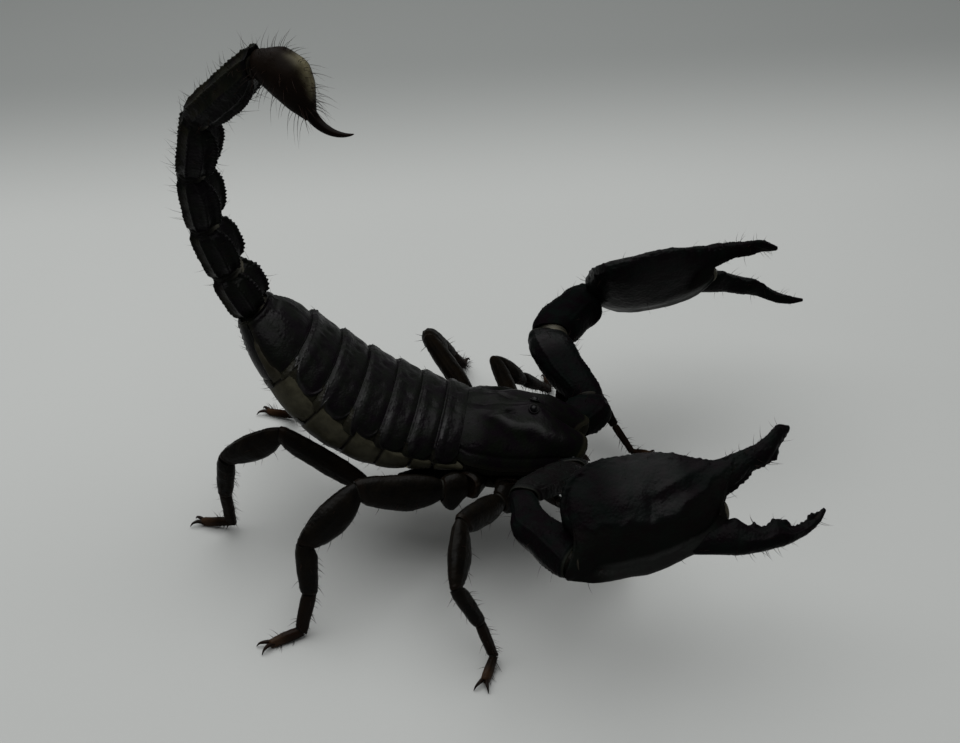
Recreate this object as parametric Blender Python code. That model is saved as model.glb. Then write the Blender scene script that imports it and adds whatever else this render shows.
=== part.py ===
"""Asian forest scorpion, life size, standing with its tail raised and its claws held open.

The animal is one still model. Lengths below are millimetres and turn into metres when a mesh
is made. X points forwards, Y to the animal's left and Z up, and the floor is at height zero.
Every plate, limb piece, eye and claw finger is its own closed solid, with a thin gap between
neighbours where the real animal has its soft joint skin.
"""
import math
from collections import namedtuple

import bmesh
import bpy
import numpy as np
from mathutils import Matrix, Vector

MM = 0.001
GAP = 0.3                       # clear space left between neighbouring solids

# Front of the body (prosoma). Its own frame starts at the rear edge of the carapace.
BODY_HEIGHT = 15.0              # height of the leg sockets below the carapace's rear edge
BODY_PITCH = -9.0               # degrees, nose down
CARAPACE_LENGTH = 17.5
CARAPACE_NOTCH = 1.5            # depth of the notch in the middle of the front edge
CARAPACE_FLOOR = (0.6, 0.137)   # height of the underside at the rear, and its rise forwards
# share of the length, half width, height of the side edge, height of the crest
CARAPACE_SHAPE = (
    (0.00, 7.6, 2.6, 6.6),
    (0.10, 8.5, 2.4, 7.1),
    (0.35, 8.9, 2.5, 7.6),
    (0.60, 8.3, 2.8, 7.6),
    (0.82, 7.0, 3.2, 6.7),
    (1.00, 5.6, 3.4, 5.2),
)
EYE_PLACE = (9.4, 1.15, 8.25)   # middle of the left median eye
EYE_RADIUS = 0.6

# Abdomen (mesosoma): seven rings on a path that curls upwards to the rear.
ABDOMEN_START = 1.4             # height of the path at the carapace, in the prosoma frame
ABDOMEN_ANGLES = (167.0, 123.0) # path direction at its start and end, from +X towards +Z
ABDOMEN_LENGTHS = (3.4, 4.0, 4.2, 4.8, 5.1, 5.6, 7.7)
ABDOMEN_HALF_WIDTH = (8.3, 8.8, 9.1, 9.3, 9.3, 9.0, 7.8, 3.3)
ABDOMEN_ABOVE = (5.3, 5.1, 4.9, 4.8, 4.7, 4.6, 4.3, 2.4)
ABDOMEN_BELOW = (0.9, 1.5, 3.4, 5.0, 5.6, 5.4, 4.4, 2.3)

# Tail (metasoma): five rings, then the vesicle and the curved sting.
TAIL_LENGTHS = (7.0, 8.0, 8.8, 9.4, 13.3)
TAIL_PITCH = (113.5, 105.0, 91.0, 75.5, 44.0)
TAIL_SWING = (-7.0, -3.0)       # sideways turn of the first ring, and of each later one
TAIL_HALF_WIDTH = (3.6, 3.35, 3.15, 2.9, 2.6)
TAIL_ABOVE = (3.0, 3.0, 3.05, 3.1, 2.35)
TAIL_BELOW = (2.5, 2.25, 2.05, 1.95, 2.0)
VESICLE_LENGTH = 9.0
VESICLE_PITCH = -35.0
VESICLE_HALF_WIDTH = 2.75
# share of the length, share of the half width, half height, and rise of the middle
VESICLE_SHAPE = (
    (0.00, 0.50, 1.4, -0.1),
    (0.10, 0.70, 1.75, -0.6),
    (0.30, 0.96, 2.6, -1.45),
    (0.52, 1.00, 2.8, -1.65),
    (0.74, 0.80, 2.25, -1.1),
    (0.90, 0.52, 1.45, -0.45),
    (1.00, 0.32, 0.85, 0.0),
)
STING_LENGTH = 6.5
STING_ANGLES = (-56.0, 24.0)    # direction of the sting at its root and at its point
# half outline of a tail ring's section: sideways, then upwards, as shares of its half sizes
TAIL_SECTION = ((0.0, 0.72), (0.52, 1.0), (0.93, 0.55), (1.0, -0.1), (0.72, -0.78), (0.0, -1.0))

# Legs, by number from the front: socket place, then lengths of trochanter, femur, patella,
# tibia, basitarsus and telotarsus, and the depth of the femur.
LEG_SOCKET = {1: (12.2, 7.4, -0.9), 2: (7.6, 8.6, -0.3), 3: (1.8, 9.4, -0.5), 4: (-7.5, 9.8, -2.6)}
LEG_LENGTHS = {
    1: (3.2, 8.4, 7.2, 5.6, 4.6, 4.2),
    2: (3.2, 10.0, 8.8, 6.3, 4.9, 4.2),
    3: (3.6, 12.2, 9.8, 6.9, 5.4, 4.6),
    4: (4.0, 14.2, 11.2, 8.0, 6.4, 4.8),
}
LEG_DEPTH = {1: 2.7, 2: 3.6, 3: 4.4, 4: 3.9}
LEG_FLATNESS = 0.62             # thickness of a leg piece against its depth
# Each leg bends in one plane: heading of the plane, its lean, then the pitch of each piece.
# The femur's pitch is left out, because it follows from the foot standing on the floor.
LEG_POSE = {
    ("right", 1): (-40, -41, -20, -80, -109, -100, -45),
    ("right", 2): (-108, -26, -2, -36, -98, -82, -13),
    ("right", 3): (-149, -13, 8, -33, -85, -68, -6),
    ("right", 4): (-188, 14, -5, -36, -78, -87, -12),
    ("left", 1): (76, 46, -34, -47, -118, -109, -50),
    ("left", 2): (104, 37, -9, -60, -52, -51, -15),
    ("left", 3): (115, 33, 7, -39, -57, -66, -36),
    ("left", 4): (165, 36, -20, -57, -71, -76, -9),
}
FOOT_AXIS_HEIGHT = 0.6          # middle of the foot's tip above the floor
FOOT_DEPTH = 0.72               # half depth of the foot's tip, so that its sole is cut flat

# Pedipalps: socket place, lengths of trochanter, femur and patella, then heading and pitch of
# each piece and of the claw, with the claw's roll and the extra opening of its free finger.
PALP_SOCKET = (15.8, 6.2, 1.2)
PALP_LENGTHS = (5.2, 13.0, 14.4)
PALP_HALF_WIDTH = (2.7, 2.95, 3.3)
PALP_HALF_DEPTH = (2.5, 2.8, 3.1)
# along each piece, the share of its half sizes
PALP_SHAPES = (
    ((0.0, 0.8), (0.3, 1.0), (0.7, 1.0), (1.0, 0.78)),
    ((0.0, 0.68), (0.14, 0.86), (0.5, 1.0), (0.82, 1.03), (1.0, 0.82)),
    ((0.0, 0.75), (0.12, 0.95), (0.35, 1.02), (0.66, 0.97), (0.86, 0.72), (1.0, 0.5)),
)
PALP_POSE = {
    "right": ((-84, 42), (-118, 18), (-62, 0), (18, 1), 37, 0),
    "left": ((68, 15), (121, 20), (69, -1), (-6, 8), 35, 21),
}

# Claw, drawn in its own plane: along the claw, then across it towards the fixed finger.
# Each row is a section from a lower point to an upper point, with half of its thickness.
CLAW_SCALE = 1.06
CLAW_JOINT = (-0.2, -4.2)
FINGER_HINGE = (16.4, -4.2)
CLAW_HAND = (
    ((0.2, -6.1), (-0.5, -2.4), 1.4),
    ((1.2, -6.7), (-0.9, 1.4), 2.0),
    ((2.8, -7.0), (-0.3, 4.0), 2.5),
    ((5.2, -7.1), (1.7, 5.9), 2.85),
    ((8.2, -7.0), (5.1, 6.9), 3.0),
    ((11.0, -6.6), (9.5, 7.0), 3.0),
    ((13.4, -5.9), (13.4, 6.4), 2.85),
    ((15.4, -5.2), (16.2, 5.4), 2.5),
    ((17.3, -3.7), (18.2, 4.8), 2.1),
    ((18.4, -2.0), (19.4, 4.9), 1.75),
    ((18.4, -0.1), (20.4, 5.1), 1.5),
    ((20.2, 1.2), (21.6, 5.4), 1.25),
    ((21.6, 2.5), (23.2, 5.8), 1.05),
    ((24.0, 3.2), (25.0, 6.6), 0.85),
    ((26.2, 5.1), (26.8, 7.6), 0.6),
    ((28.1, 6.6), (28.2, 7.3), 0.28),
)
CLAW_FINGER = (
    ((16.3, -5.9), (19.2, -2.7), 1.2),
    ((17.8, -6.3), (20.1, -2.9), 1.4),
    ((19.9, -6.6), (21.1, -3.7), 1.35),
    ((22.3, -6.6), (22.7, -3.9), 1.2),
    ((23.9, -6.5), (24.1, -3.3), 1.1),
    ((26.0, -6.2), (26.2, -4.5), 0.9),
    ((28.4, -5.5), (28.3, -4.2), 0.7),
    ((30.0, -4.6), (29.7, -3.7), 0.5),
    ((31.1, -3.4), (30.9, -3.0), 0.26),
)
# how far the claw's middle lies outwards of its plane, at places along it
CLAW_BOW = ((0.0, -0.2), (4.0, -0.4), (8.0, -0.5), (11.0, -0.3), (14.5, 0.3), (17.5, 1.3), (20.0, 1.9),
            (25.0, 1.5), (28.0, 0.3), (31.5, -0.6))
CLAW_CUPPING = 0.035            # how strongly the hand's inner lobe curls inwards
CLAW_INNER_THINNING = 0.25      # how much thinner the claw is at its fixed-finger edge

# Mouth claws (chelicerae) and the combs under the body (pectines), in the prosoma frame.
CHELICERA_START = (12.2, 1.75, 0.55)
CHELICERA_LENGTH = 6.6
CHELICERA_PITCH = -12.0
CHELICERA_HALF_WIDTH = 1.5
CHELICERA_HALF_DEPTH = 1.25
COMB_ROOT = (-0.8, 1.7, -3.7)
COMB_LENGTH = 8.6
COMB_WIDTH = 2.0
COMB_HEADING = 164.0
COMB_TEETH = 12
COMB_THICKNESS = 0.6

Frame = namedtuple("Frame", "origin axis up side")


def turned(angle):
    """Cosine and sine of an angle in degrees."""
    return math.cos(math.radians(angle)), math.sin(math.radians(angle))


def unit(vector):
    """The vector at length one."""
    return vector / np.linalg.norm(vector)


def heading(azimuth, pitch):
    """Direction from an azimuth round Z, counted from +X, and a pitch above the floor."""
    across, rise = turned(pitch)
    x, y = turned(azimuth)
    return np.array((across * x, across * y, rise))


def frame(origin, axis, up):
    """Frame with a unit axis, an up square to it, and the side that completes them."""
    axis = unit(axis)
    up = unit(up - axis * np.dot(up, axis))
    return Frame(np.asarray(origin, float), axis, up, np.cross(up, axis))


def on_prosoma(place):
    """Turn a place in the prosoma frame into the animal's frame."""
    x, y, z = place
    c, s = turned(BODY_PITCH)
    return np.array((x * c - z * s, y, BODY_HEIGHT + x * s + z * c))


def mirrored(place, side):
    """A left-hand place, or its mirror image for the right side."""
    x, y, z = place
    return (x, y if side == "left" else -y, z)


def material(name, colour, roughness):
    """Principled material from a linear colour and a roughness."""
    made = bpy.data.materials.new(name)
    made.use_nodes = True
    shader = made.node_tree.nodes["Principled BSDF"]
    shader.inputs["Base Color"].default_value = (*colour, 1.0)
    shader.inputs["Roughness"].default_value = roughness
    shader.inputs["Metallic"].default_value = 0.0
    return made


def solid(name, points, faces, finish):
    """Object from points in millimetres, with its faces turned outwards."""
    colour, roughness = finish
    mesh = bpy.data.meshes.new(name)
    mesh.from_pydata([tuple(p) for p in np.asarray(points) * MM], [], faces)
    shape = bmesh.new()
    shape.from_mesh(mesh)
    bmesh.ops.recalc_face_normals(shape, faces=shape.faces)
    shape.to_mesh(mesh)
    shape.free()
    mesh.materials.append(material(name + "_finish", colour, roughness))
    mesh.shade_smooth()
    mesh.set_sharp_from_angle(angle=math.radians(40))
    made = bpy.data.objects.new(name, mesh)
    bpy.context.collection.objects.link(made)
    return made


def skin_rings(rings):
    """Points and faces of a closed skin over rings of equal count, with flat ends."""
    count = len(rings[0])
    points = np.concatenate(rings)
    faces = [tuple(range(count))[::-1]]
    for row in range(len(rings) - 1):
        for k in range(count):
            after = (k + 1) % count
            low, high = row * count, (row + 1) * count
            faces.append((low + k, low + after, high + after, high + k))
    last = (len(rings) - 1) * count
    faces.append(tuple(range(last, last + count)))
    return points, faces


def loft(name, rings, finish):
    """Closed solid over a row of rings."""
    return solid(name, *skin_rings(rings), finish)


def oval(place, half_width, above, below, sides, squareness=2.3):
    """Ring of a rounded-square section square to a frame's axis."""
    angles = np.arange(sides) * math.tau / sides
    c, s = np.cos(angles), np.sin(angles)
    power = 2.0 / squareness
    across = half_width * np.sign(c) * np.abs(c) ** power
    height = np.where(s > 0, above, below) * np.sign(s) * np.abs(s) ** power
    return place.origin + np.outer(across, place.side) + np.outer(height, place.up)


def moved(place, along):
    """The same frame further along its axis."""
    return place._replace(origin=place.origin + place.axis * along)


def slid(ring, axis, point, normal):
    """Slide a ring along an axis until it lies in a plane."""
    distance = (np.asarray(point) - ring) @ normal / np.dot(axis, normal)
    return ring + np.outer(distance, axis)


def kept_before(rings, axis, point, normal):
    """Hold every ring of a row on the near side of a plane, in order, by sliding back."""
    held = []
    for index, ring in enumerate(rings):
        margin = 0.12 * (len(rings) - 1 - index)
        over = np.maximum((ring - point) @ normal + margin, 0.0) / np.dot(axis, normal)
        held.append(ring - np.outer(over, axis))
    return held


def mitred(frames, joints, sections, ring_at):
    """Rings along a bent row of frames, cut to length by the plane at each joint.

    joints holds one (point, normal) plane before each frame and one after the last. Ends stop
    half a gap short of their plane. sections holds, for each frame, rows of a share of its
    length and the values that ring_at needs.
    """
    rings = []
    for number, (place, rows) in enumerate(zip(frames, sections)):
        point, normal = joints[number]
        end_point, end_normal = joints[number + 1]
        length = np.linalg.norm(end_point - point)
        start = point + normal * (GAP / 2 if number == 0 else 0.0)
        end = end_point - end_normal * (GAP / 2 if number == len(frames) - 1 else 0.0)
        own = [ring_at(moved(place, share * length), *values) for share, *values in rows]
        own[-1] = slid(own[-1], place.axis, end, end_normal)
        own[:-1] = kept_before(own[:-1], place.axis, end - end_normal * 0.12, end_normal)
        first = 0
        if rows[0][0] == 0.0:
            own[0] = slid(own[0], place.axis, start, normal)
            first = 1
        backwards = kept_before(own[first:-1][::-1], -place.axis, start + normal * 0.12, -normal)
        own[first:-1] = backwards[::-1]
        rings.extend(own)
    return rings


def joint_planes(places):
    """Plane halfway through the bend at the start of each frame, square to the first one."""
    planes = [(places[0].origin, places[0].axis)]
    for before, after in zip(places, places[1:]):
        planes.append((after.origin, unit(before.axis + after.axis)))
    return planes


def cut_with(body, others, operation):
    """Join or cut a solid with others, which stay in the file as hidden guides."""
    for number, other in enumerate(others):
        change = body.modifiers.new(f"{operation.lower()}_{number}", "BOOLEAN")
        change.operation = operation
        change.solver = "EXACT"
        change.object = other
        other.hide_render = True
        other.display_type = "WIRE"


BLACK = ((0.012, 0.012, 0.014), 0.28)
SKIN = ((0.16, 0.15, 0.11), 0.55)
BROWN = ((0.055, 0.022, 0.012), 0.32)
EYE = ((0.004, 0.004, 0.005), 0.08)


# ---------------------------------------------------------------- front of the body

def carapace_height(x, share_across, edge, crest):
    """Height of the shield: a dome from edge to crest, an eye mound and a front furrow."""
    dome = edge + (crest - edge) * (1 - abs(share_across) ** 2.6) ** 0.62
    ex, ey, _ = EYE_PLACE
    y = share_across * 8.5
    mound = 0.75 * math.exp(-((x - ex) / 2.0) ** 2 - (y / 1.25) ** 2)
    furrow = 0.45 * math.exp(-((x - 15.0) / 2.6) ** 2 - (y / 0.9) ** 2)
    return dome + mound - furrow


def build_carapace(name="carapace", pad=0.0):
    """Shield over the front of the body, closed below by one flat face, swollen by a pad."""
    lengths, widths, edges, crests = zip(*CARAPACE_SHAPE)
    across = [math.sin(math.pi / 2 * k / 7) for k in range(-7, 8)]
    along = [0.0, 0.07, 0.2, 0.36, 0.47, 0.6, 0.74, 0.88, 1.0]
    base, slope = CARAPACE_FLOOR
    top, rim = [], {}
    for i, t in enumerate(along):
        half = np.interp(t, lengths, widths) + pad
        edge = np.interp(t, lengths, edges)
        crest = np.interp(t, lengths, crests)
        for j, s in enumerate(across):
            front = CARAPACE_LENGTH + pad - 1.4 * s ** 4
            front -= CARAPACE_NOTCH * math.exp(-(s / 0.24) ** 2)
            x = GAP / 2 + t * (front - GAP / 2)
            y = s * half
            top.append(on_prosoma((x, y, carapace_height(x, s, edge, crest) + pad)))
            if i in (0, len(along) - 1) or j in (0, len(across) - 1):
                rim[(i, j)] = on_prosoma((x, y, base + slope * x - pad))
    columns = len(across)
    faces = [
        (i * columns + j, (i + 1) * columns + j, (i + 1) * columns + j + 1, i * columns + j + 1)
        for i in range(len(along) - 1)
        for j in range(columns - 1)
    ]
    last_row, last = len(along) - 1, columns - 1
    loop = [(0, j) for j in range(last)] + [(i, last) for i in range(last_row)]
    loop += [(last_row, j) for j in range(last, 0, -1)] + [(i, 0) for i in range(last_row, 0, -1)]
    low = {key: len(top) + n for n, key in enumerate(loop)}
    points = top + [rim[key] for key in loop]
    for a, b in zip(loop, loop[1:] + loop[:1]):
        upper_a, upper_b = a[0] * columns + a[1], b[0] * columns + b[1]
        faces.append((upper_a, upper_b, low[b], low[a]))
    faces.append(tuple(low[key] for key in loop))
    return solid(name, points, faces, BLACK)


def build_bead(name, side, radius):
    """Ball at the place of a median eye."""
    made = bmesh.new()
    bmesh.ops.create_uvsphere(made, u_segments=10, v_segments=6, radius=radius * MM)
    bmesh.ops.translate(made, vec=Vector(on_prosoma(mirrored(EYE_PLACE, side)) * MM), verts=made.verts)
    mesh = bpy.data.meshes.new(name)
    made.to_mesh(mesh)
    made.free()
    mesh.materials.append(material(name + "_finish", *EYE))
    mesh.shade_smooth()
    bead = bpy.data.objects.new(name, mesh)
    bpy.context.collection.objects.link(bead)
    return bead


def build_head():
    """Shield with its two median eyes, each set in a socket a little wider than itself."""
    shield = build_carapace()
    sockets = []
    for side in ("right", "left"):
        build_bead("median_eye_" + side, side, EYE_RADIUS)
        sockets.append(build_bead("guide_socket_" + side, side, EYE_RADIUS + 0.8 * GAP))
    cut_with(shield, sockets, "DIFFERENCE")


def leg_frame(side, number):
    """Horizontal heading of a leg's plane, and the up and side directions in it."""
    azimuth, lean = LEG_POSE[(side, number)][:2]
    out = heading(azimuth, 0)
    normal = np.array((-out[1], out[0], 0.0))
    c, s = turned(lean)
    return out, np.array((0, 0, c)) + normal * s


def leg_places(side, number):
    """Frame of each of a leg's six pieces, and the end of the last."""
    _, lean, first, *rest = LEG_POSE[(side, number)]
    lengths = LEG_LENGTHS[number]
    out, up = leg_frame(side, number)
    socket = on_prosoma(mirrored(LEG_SOCKET[number], side))
    steep = turned(lean)[0]
    others = [lengths[0] * turned(first)[1]]
    others += [length * turned(pitch)[1] for length, pitch in zip(lengths[2:], rest)]
    drop = (FOOT_AXIS_HEIGHT - socket[2]) / steep - sum(others)
    femur = math.degrees(math.asin(drop / lengths[1]))
    places, here = [], socket
    for length, pitch in zip(lengths, [first, femur] + rest):
        c, s = turned(pitch)
        places.append(frame(here, out * c + up * s, up * c - out * s))
        here = here + places[-1].axis * length
    return places, here


def coxa_rings(socket, first, root, size):
    """Rings of the body stub that carries a limb, from inside the body to its socket."""
    start = on_prosoma(root)
    place = frame(start, socket - start, np.array((0.0, 0.0, 1.0)))
    length = np.linalg.norm(socket - start)
    normal = unit(place.axis + first.axis)
    rings = [oval(moved(place, share * length), size * 0.95, size * 0.8, size * 0.9, 8)
             for share in (0.0, 0.5, 0.9)]
    end = socket - normal * GAP * 0.7
    rings.append(slid(oval(moved(place, length), size * 0.85, size * 0.7, size * 0.75, 8),
                      place.axis, end, normal))
    rings[:-1] = kept_before(rings[:-1], place.axis, end - normal * 0.12, normal)
    return rings


def build_underside(shield_space):
    """Breastplate and limb roots under the shield, joined into one body clear of the shield."""
    base, slope = CARAPACE_FLOOR
    rows = ((-3.0, 2.6, -0.9), (0.4, 5.8, -0.2), (5.0, 7.2, 0.0), (10.0, 6.8, 0.0), (13.0, 5.0, -0.9))
    rings = []
    for x, half, drop in rows:
        top = base + slope * max(x, 0.0) - GAP + drop
        ring = [(x, half * c, (top - 3.3) / 2 + s * (top + 3.3) / 2)
                for c, s in (turned(30 * k) for k in range(12))]
        rings.append(np.array([on_prosoma(p) for p in ring]))
    body = loft("coxosternum", rings, BLACK)
    stubs = []
    for side in ("right", "left"):
        for number in LEG_SOCKET:
            places, _ = leg_places(side, number)
            root = mirrored((6.5 - 1.7 * (number - 1) + 1.0, 2.2, -1.7), side)
            size = LEG_DEPTH[number] * 0.5
            rings = coxa_rings(places[0].origin, places[0], root, size)
            stubs.append(loft(f"guide_coxa_{side}_{number}", rings, BLACK))
        places, _ = palp_places(side)
        root = mirrored((9.0, 2.8, -1.3), side)
        rings = coxa_rings(places[0].origin, places[0], root, PALP_HALF_WIDTH[0])
        stubs.append(loft(f"guide_coxa_{side}_palp", rings, BLACK))
    cut_with(body, stubs, "UNION")
    spaces = [shield_space]
    for side in ("right", "left"):
        spaces.append(build_chelicera(side, "guide_chelicera_", GAP))
        spaces.append(build_palp_piece(side, 0, "guide_shoulder_" + side, GAP))
        spaces.append(build_leg_femur(side, 1, "guide_femur_" + side, GAP))
    cut_with(body, spaces, "DIFFERENCE")


def build_chelicera(side, name="chelicera_", pad=0.0):
    """Mouth claw: a short deep base and a blunt pair of fingers, in one solid."""
    origin = on_prosoma(mirrored(CHELICERA_START, side))
    place = frame(origin, heading(0, BODY_PITCH + CHELICERA_PITCH), np.array((0.0, 0.0, 1.0)))
    rows = ((0.0, 0.8, 0.7), (0.2, 1.0, 0.9), (0.55, 1.0, 1.0), (0.74, 0.86, 1.0), (0.9, 0.6, 0.85),
            (1.0, 0.28, 0.5))
    half = CHELICERA_HALF_DEPTH
    rings = [oval(moved(place, share * CHELICERA_LENGTH), CHELICERA_HALF_WIDTH * wide + pad,
                  half * deep + pad, half * deep + pad, 10)
             for share, wide, deep in rows]
    rings[0] = rings[0] - place.axis * pad
    return loft(name + side, rings, BROWN)


def build_comb(side):
    """Comb under the body: a flat blade with a toothed rear edge."""
    outline = [(0.0, 0.0), (0.6, 0.7)]
    outline += [(COMB_LENGTH * 0.9, 0.25), (COMB_LENGTH, -0.35)]
    pitch = (COMB_LENGTH - 0.9) / COMB_TEETH
    for tooth in range(COMB_TEETH):
        near = COMB_LENGTH - 0.25 - tooth * pitch
        outline += [(near - 0.15 * pitch, -COMB_WIDTH + 0.5), (near - 0.6 * pitch, -COMB_WIDTH),
                    (near - 0.9 * pitch, -COMB_WIDTH * 0.62)]
    c, s = turned(COMB_HEADING)
    layers = []
    for level in (0.0, -COMB_THICKNESS):
        layer = []
        for along, wide in outline:
            x = COMB_ROOT[0] + along * c + wide * s
            y = COMB_ROOT[1] + along * s - wide * c
            place = (x, y, COMB_ROOT[2] + level + 0.15 * along)
            layer.append(on_prosoma(mirrored(place, side)))
        layers.append(np.array(layer))
    loft("pecten_" + side, layers, BROWN)


# ---------------------------------------------------------------- abdomen and tail

def abdomen_frames(steps=6):
    """Frames at the ends and in the middle of each abdomen ring."""
    here = on_prosoma((0.0, 0.0, ABDOMEN_START))
    total = sum(ABDOMEN_LENGTHS)
    start, end = ABDOMEN_ANGLES
    done, rows = 0.0, []
    for length in ABDOMEN_LENGTHS:
        row = []
        for step in range(steps + 1):
            c, s = turned(start + (end - start) * done / total)
            if step in (0, steps // 2, steps):
                row.append(frame(here, np.array((c, 0.0, s)), np.array((s, 0.0, -c))))
            if step < steps:
                c, s = turned(start + (end - start) * (done + length / steps / 2) / total)
                here = here + np.array((c, 0.0, s)) * length / steps
                done += length / steps
        rows.append(row)
    return rows


def build_abdomen(rows, tail_root):
    """Seven rings: each back plate stands a little proud of the next one's front edge."""
    for k, (front, middle, rear) in enumerate(rows):
        sizes = [(ABDOMEN_HALF_WIDTH[n], ABDOMEN_ABOVE[n], ABDOMEN_BELOW[n]) for n in (k, k + 1)]
        halfway = [(a + b) / 2 for a, b in zip(*sizes)]
        if k == len(rows) - 1:
            halfway = [value * 1.12 for value in halfway]
        rings = []
        for place, (wide, above, below), share in ((moved(front, GAP / 2), sizes[0], 0.97),
                                                   (middle, halfway, 1.0),
                                                   (moved(rear, -GAP / 2), sizes[1], 1.03)):
            rings.append(oval(place, wide, above * share, below, 16, 2.2))
        if k == 0:
            normal = -heading(0, BODY_PITCH)
            rings[0] = slid(rings[0], front.axis, front.origin + normal * GAP / 2, normal)
        if k == len(rows) - 1:
            normal = unit(rear.axis + tail_root.axis)
            rings[-1] = slid(rings[-1], rear.axis, rear.origin - normal * GAP / 2, normal)
        loft(f"mesosoma_{k + 1}", rings, BLACK)


def tail_ring(place, wide, above, below):
    """Ring of a tail segment: a furrow on the back between two keels, and a round belly."""
    half = [(x * wide, z * (above if z > 0 else below)) for x, z in TAIL_SECTION]
    both = half + [(-x, z) for x, z in half[-2:0:-1]]
    return np.array([place.origin + place.side * x + place.up * z for x, z in both])


def tail_frames(origin):
    """Frames of the five tail rings, the vesicle and the root of the sting."""
    places, here = [], origin
    lengths = TAIL_LENGTHS + (VESICLE_LENGTH, STING_LENGTH)
    for number, (length, pitch) in enumerate(zip(lengths, TAIL_PITCH + (VESICLE_PITCH, STING_ANGLES[0]))):
        c, s = turned(pitch)
        cs, ss = turned(TAIL_SWING[0] + TAIL_SWING[1] * number)
        axis = np.array((c * cs, ss, s * cs))
        places.append(frame(here, axis, np.array((s, 0.0, -c))))
        here = here + axis * length
    return places


def build_tail(places, abdomen_end):
    """Five tail rings with narrow necks and a hump towards the rear of each back keel."""
    planes = joint_planes(places)
    planes[0] = (places[0].origin, unit(abdomen_end.axis + places[0].axis))
    rows = ((0.0, 0.70, 0.5, 0.84), (0.10, 0.86, 0.8, 0.95), (0.32, 1.0, 1.0, 1.0),
            (0.62, 1.0, 1.04, 1.0), (0.84, 0.96, 0.84, 0.98), (1.0, 0.76, 0.42, 0.88))
    for k in range(len(TAIL_LENGTHS)):
        sizes = (TAIL_HALF_WIDTH[k], TAIL_ABOVE[k], TAIL_BELOW[k])
        sections = [[(share, *(a * b for a, b in zip(sizes, scale))) for share, *scale in rows]]
        rings = mitred(places[k:k + 1], planes[k:k + 2], sections, tail_ring)
        loft(f"metasoma_{k + 1}", rings, BLACK)


def build_telson(places):
    """Vesicle, a drop with its bulge below, and the sting, a cone along an arc."""
    planes = joint_planes(places)
    vesicle = places[-2]
    root = places[-1].origin
    sections = [[(share, wide * VESICLE_HALF_WIDTH, half, lift)
                 for share, wide, half, lift in VESICLE_SHAPE]]

    def ring(place, wide, half, lift):
        return oval(place._replace(origin=place.origin + place.up * lift), wide, half, half, 12, 2.1)

    end = (root, vesicle.axis)
    loft("telson_vesicle", mitred([vesicle], [planes[-2], end], sections, ring), BROWN)
    here = root + vesicle.axis * GAP / 2
    steps = 6
    side = vesicle.side
    rings = []
    for step in range(steps + 1):
        share = step / steps
        angle = STING_ANGLES[0] + (STING_ANGLES[1] - STING_ANGLES[0]) * share
        c, s = turned(angle)
        axis = unit(np.array((c, vesicle.axis[1], s)))
        place = Frame(here, axis, unit(np.cross(axis, side)), side)
        radius = 0.74 * (1 - share) ** 0.8 + 0.25 * share
        rings.append(oval(place, radius, radius, radius, 8, 2.0))
        here = here + axis * STING_LENGTH / steps
    rings[0] = slid(rings[0], vesicle.axis, root + vesicle.axis * GAP / 2, vesicle.axis)
    loft("telson_aculeus", rings, BROWN)


# ---------------------------------------------------------------- limbs

def leg_ring(place, depth):
    """Ring of a leg piece, deeper than it is thick."""
    return oval(place, depth * LEG_FLATNESS / 2, depth / 2, depth / 2, 8, 2.2)


def build_leg_femur(side, number, name, pad=0.0):
    """Trochanter and femur of a leg in one solid, swollen by a pad."""
    places, tip = leg_places(side, number)
    planes = joint_planes(places)
    depth = LEG_DEPTH[number] + pad * 2
    neck = LEG_DEPTH[number] * 0.58 + pad * 2
    upper = [
        [(0.0, depth * 0.74), (0.5, depth * 0.95), (1.0, neck)],
        [(0.12, depth * 0.84), (0.45, depth), (0.8, depth * 0.92), (1.0, neck)],
    ]
    return loft(name, mitred(places[:2], planes[:3], upper, leg_ring), BLACK)


def build_leg(side, number):
    """One leg in three solids: trochanter and femur, patella, and foot with two claws."""
    places, tip = leg_places(side, number)
    planes = joint_planes(places) + [(tip, places[-1].axis)]
    depth = LEG_DEPTH[number]
    neck, thin = depth * 0.58, depth * 0.5
    name = f"leg_{side}_{number}_"
    build_leg_femur(side, number, name + "femur")
    knee = [[(0.0, neck), (0.16, depth * 0.9), (0.5, depth * 1.08), (0.8, depth * 0.86), (1.0, thin)]]
    loft(name + "patella", mitred(places[2:3], planes[2:4], knee, leg_ring), BLACK)
    lower = [
        [(0.0, thin * 0.95), (0.2, thin * 1.08), (0.85, thin * 0.92), (1.0, thin * 0.8)],
        [(0.15, thin * 0.82), (0.85, thin * 0.76), (1.0, thin * 0.72)],
        [(0.2, thin * 0.72), (0.7, FOOT_DEPTH * 2), (1.0, FOOT_DEPTH * 1.7)],
    ]
    rings = mitred(places[3:], planes[3:], lower, leg_ring)
    rings = [np.column_stack((r[:, 0], r[:, 1], np.maximum(r[:, 2], 0.0))) for r in rings]
    foot = loft(name + "foot", rings, BROWN)
    claws = [build_foot_claw(places[-1], tip, turn, name) for turn in (-1, 1)]
    cut_with(foot, claws, "UNION")


def build_foot_claw(place, tip, turn, name):
    """One of the two hooks at the end of a foot, bent down towards the floor."""
    rings = []
    flat = unit(np.array((place.axis[0], place.axis[1], 0.0)))
    aside = np.array((-flat[1], flat[0], 0.0)) * turn
    for share, out, wide, high, radius in ((0.0, -0.7, 0.22, 0.0, 0.32), (0.5, 0.45, 0.5, 0.05, 0.3),
                                           (1.0, 1.0, 0.85, -0.32, 0.26)):
        centre = tip + flat * out + aside * wide + np.array((0.0, 0.0, high))
        axis = unit(flat + aside * 0.45 * share + np.array((0.0, 0.0, -0.9 * share)))
        rings.append(oval(frame(centre, axis, np.array((0.0, 0.0, 1.0))), radius, radius, radius, 6, 2.0))
    return loft(f"guide_{name}claw_{turn + 1}", rings, BROWN)


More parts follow.
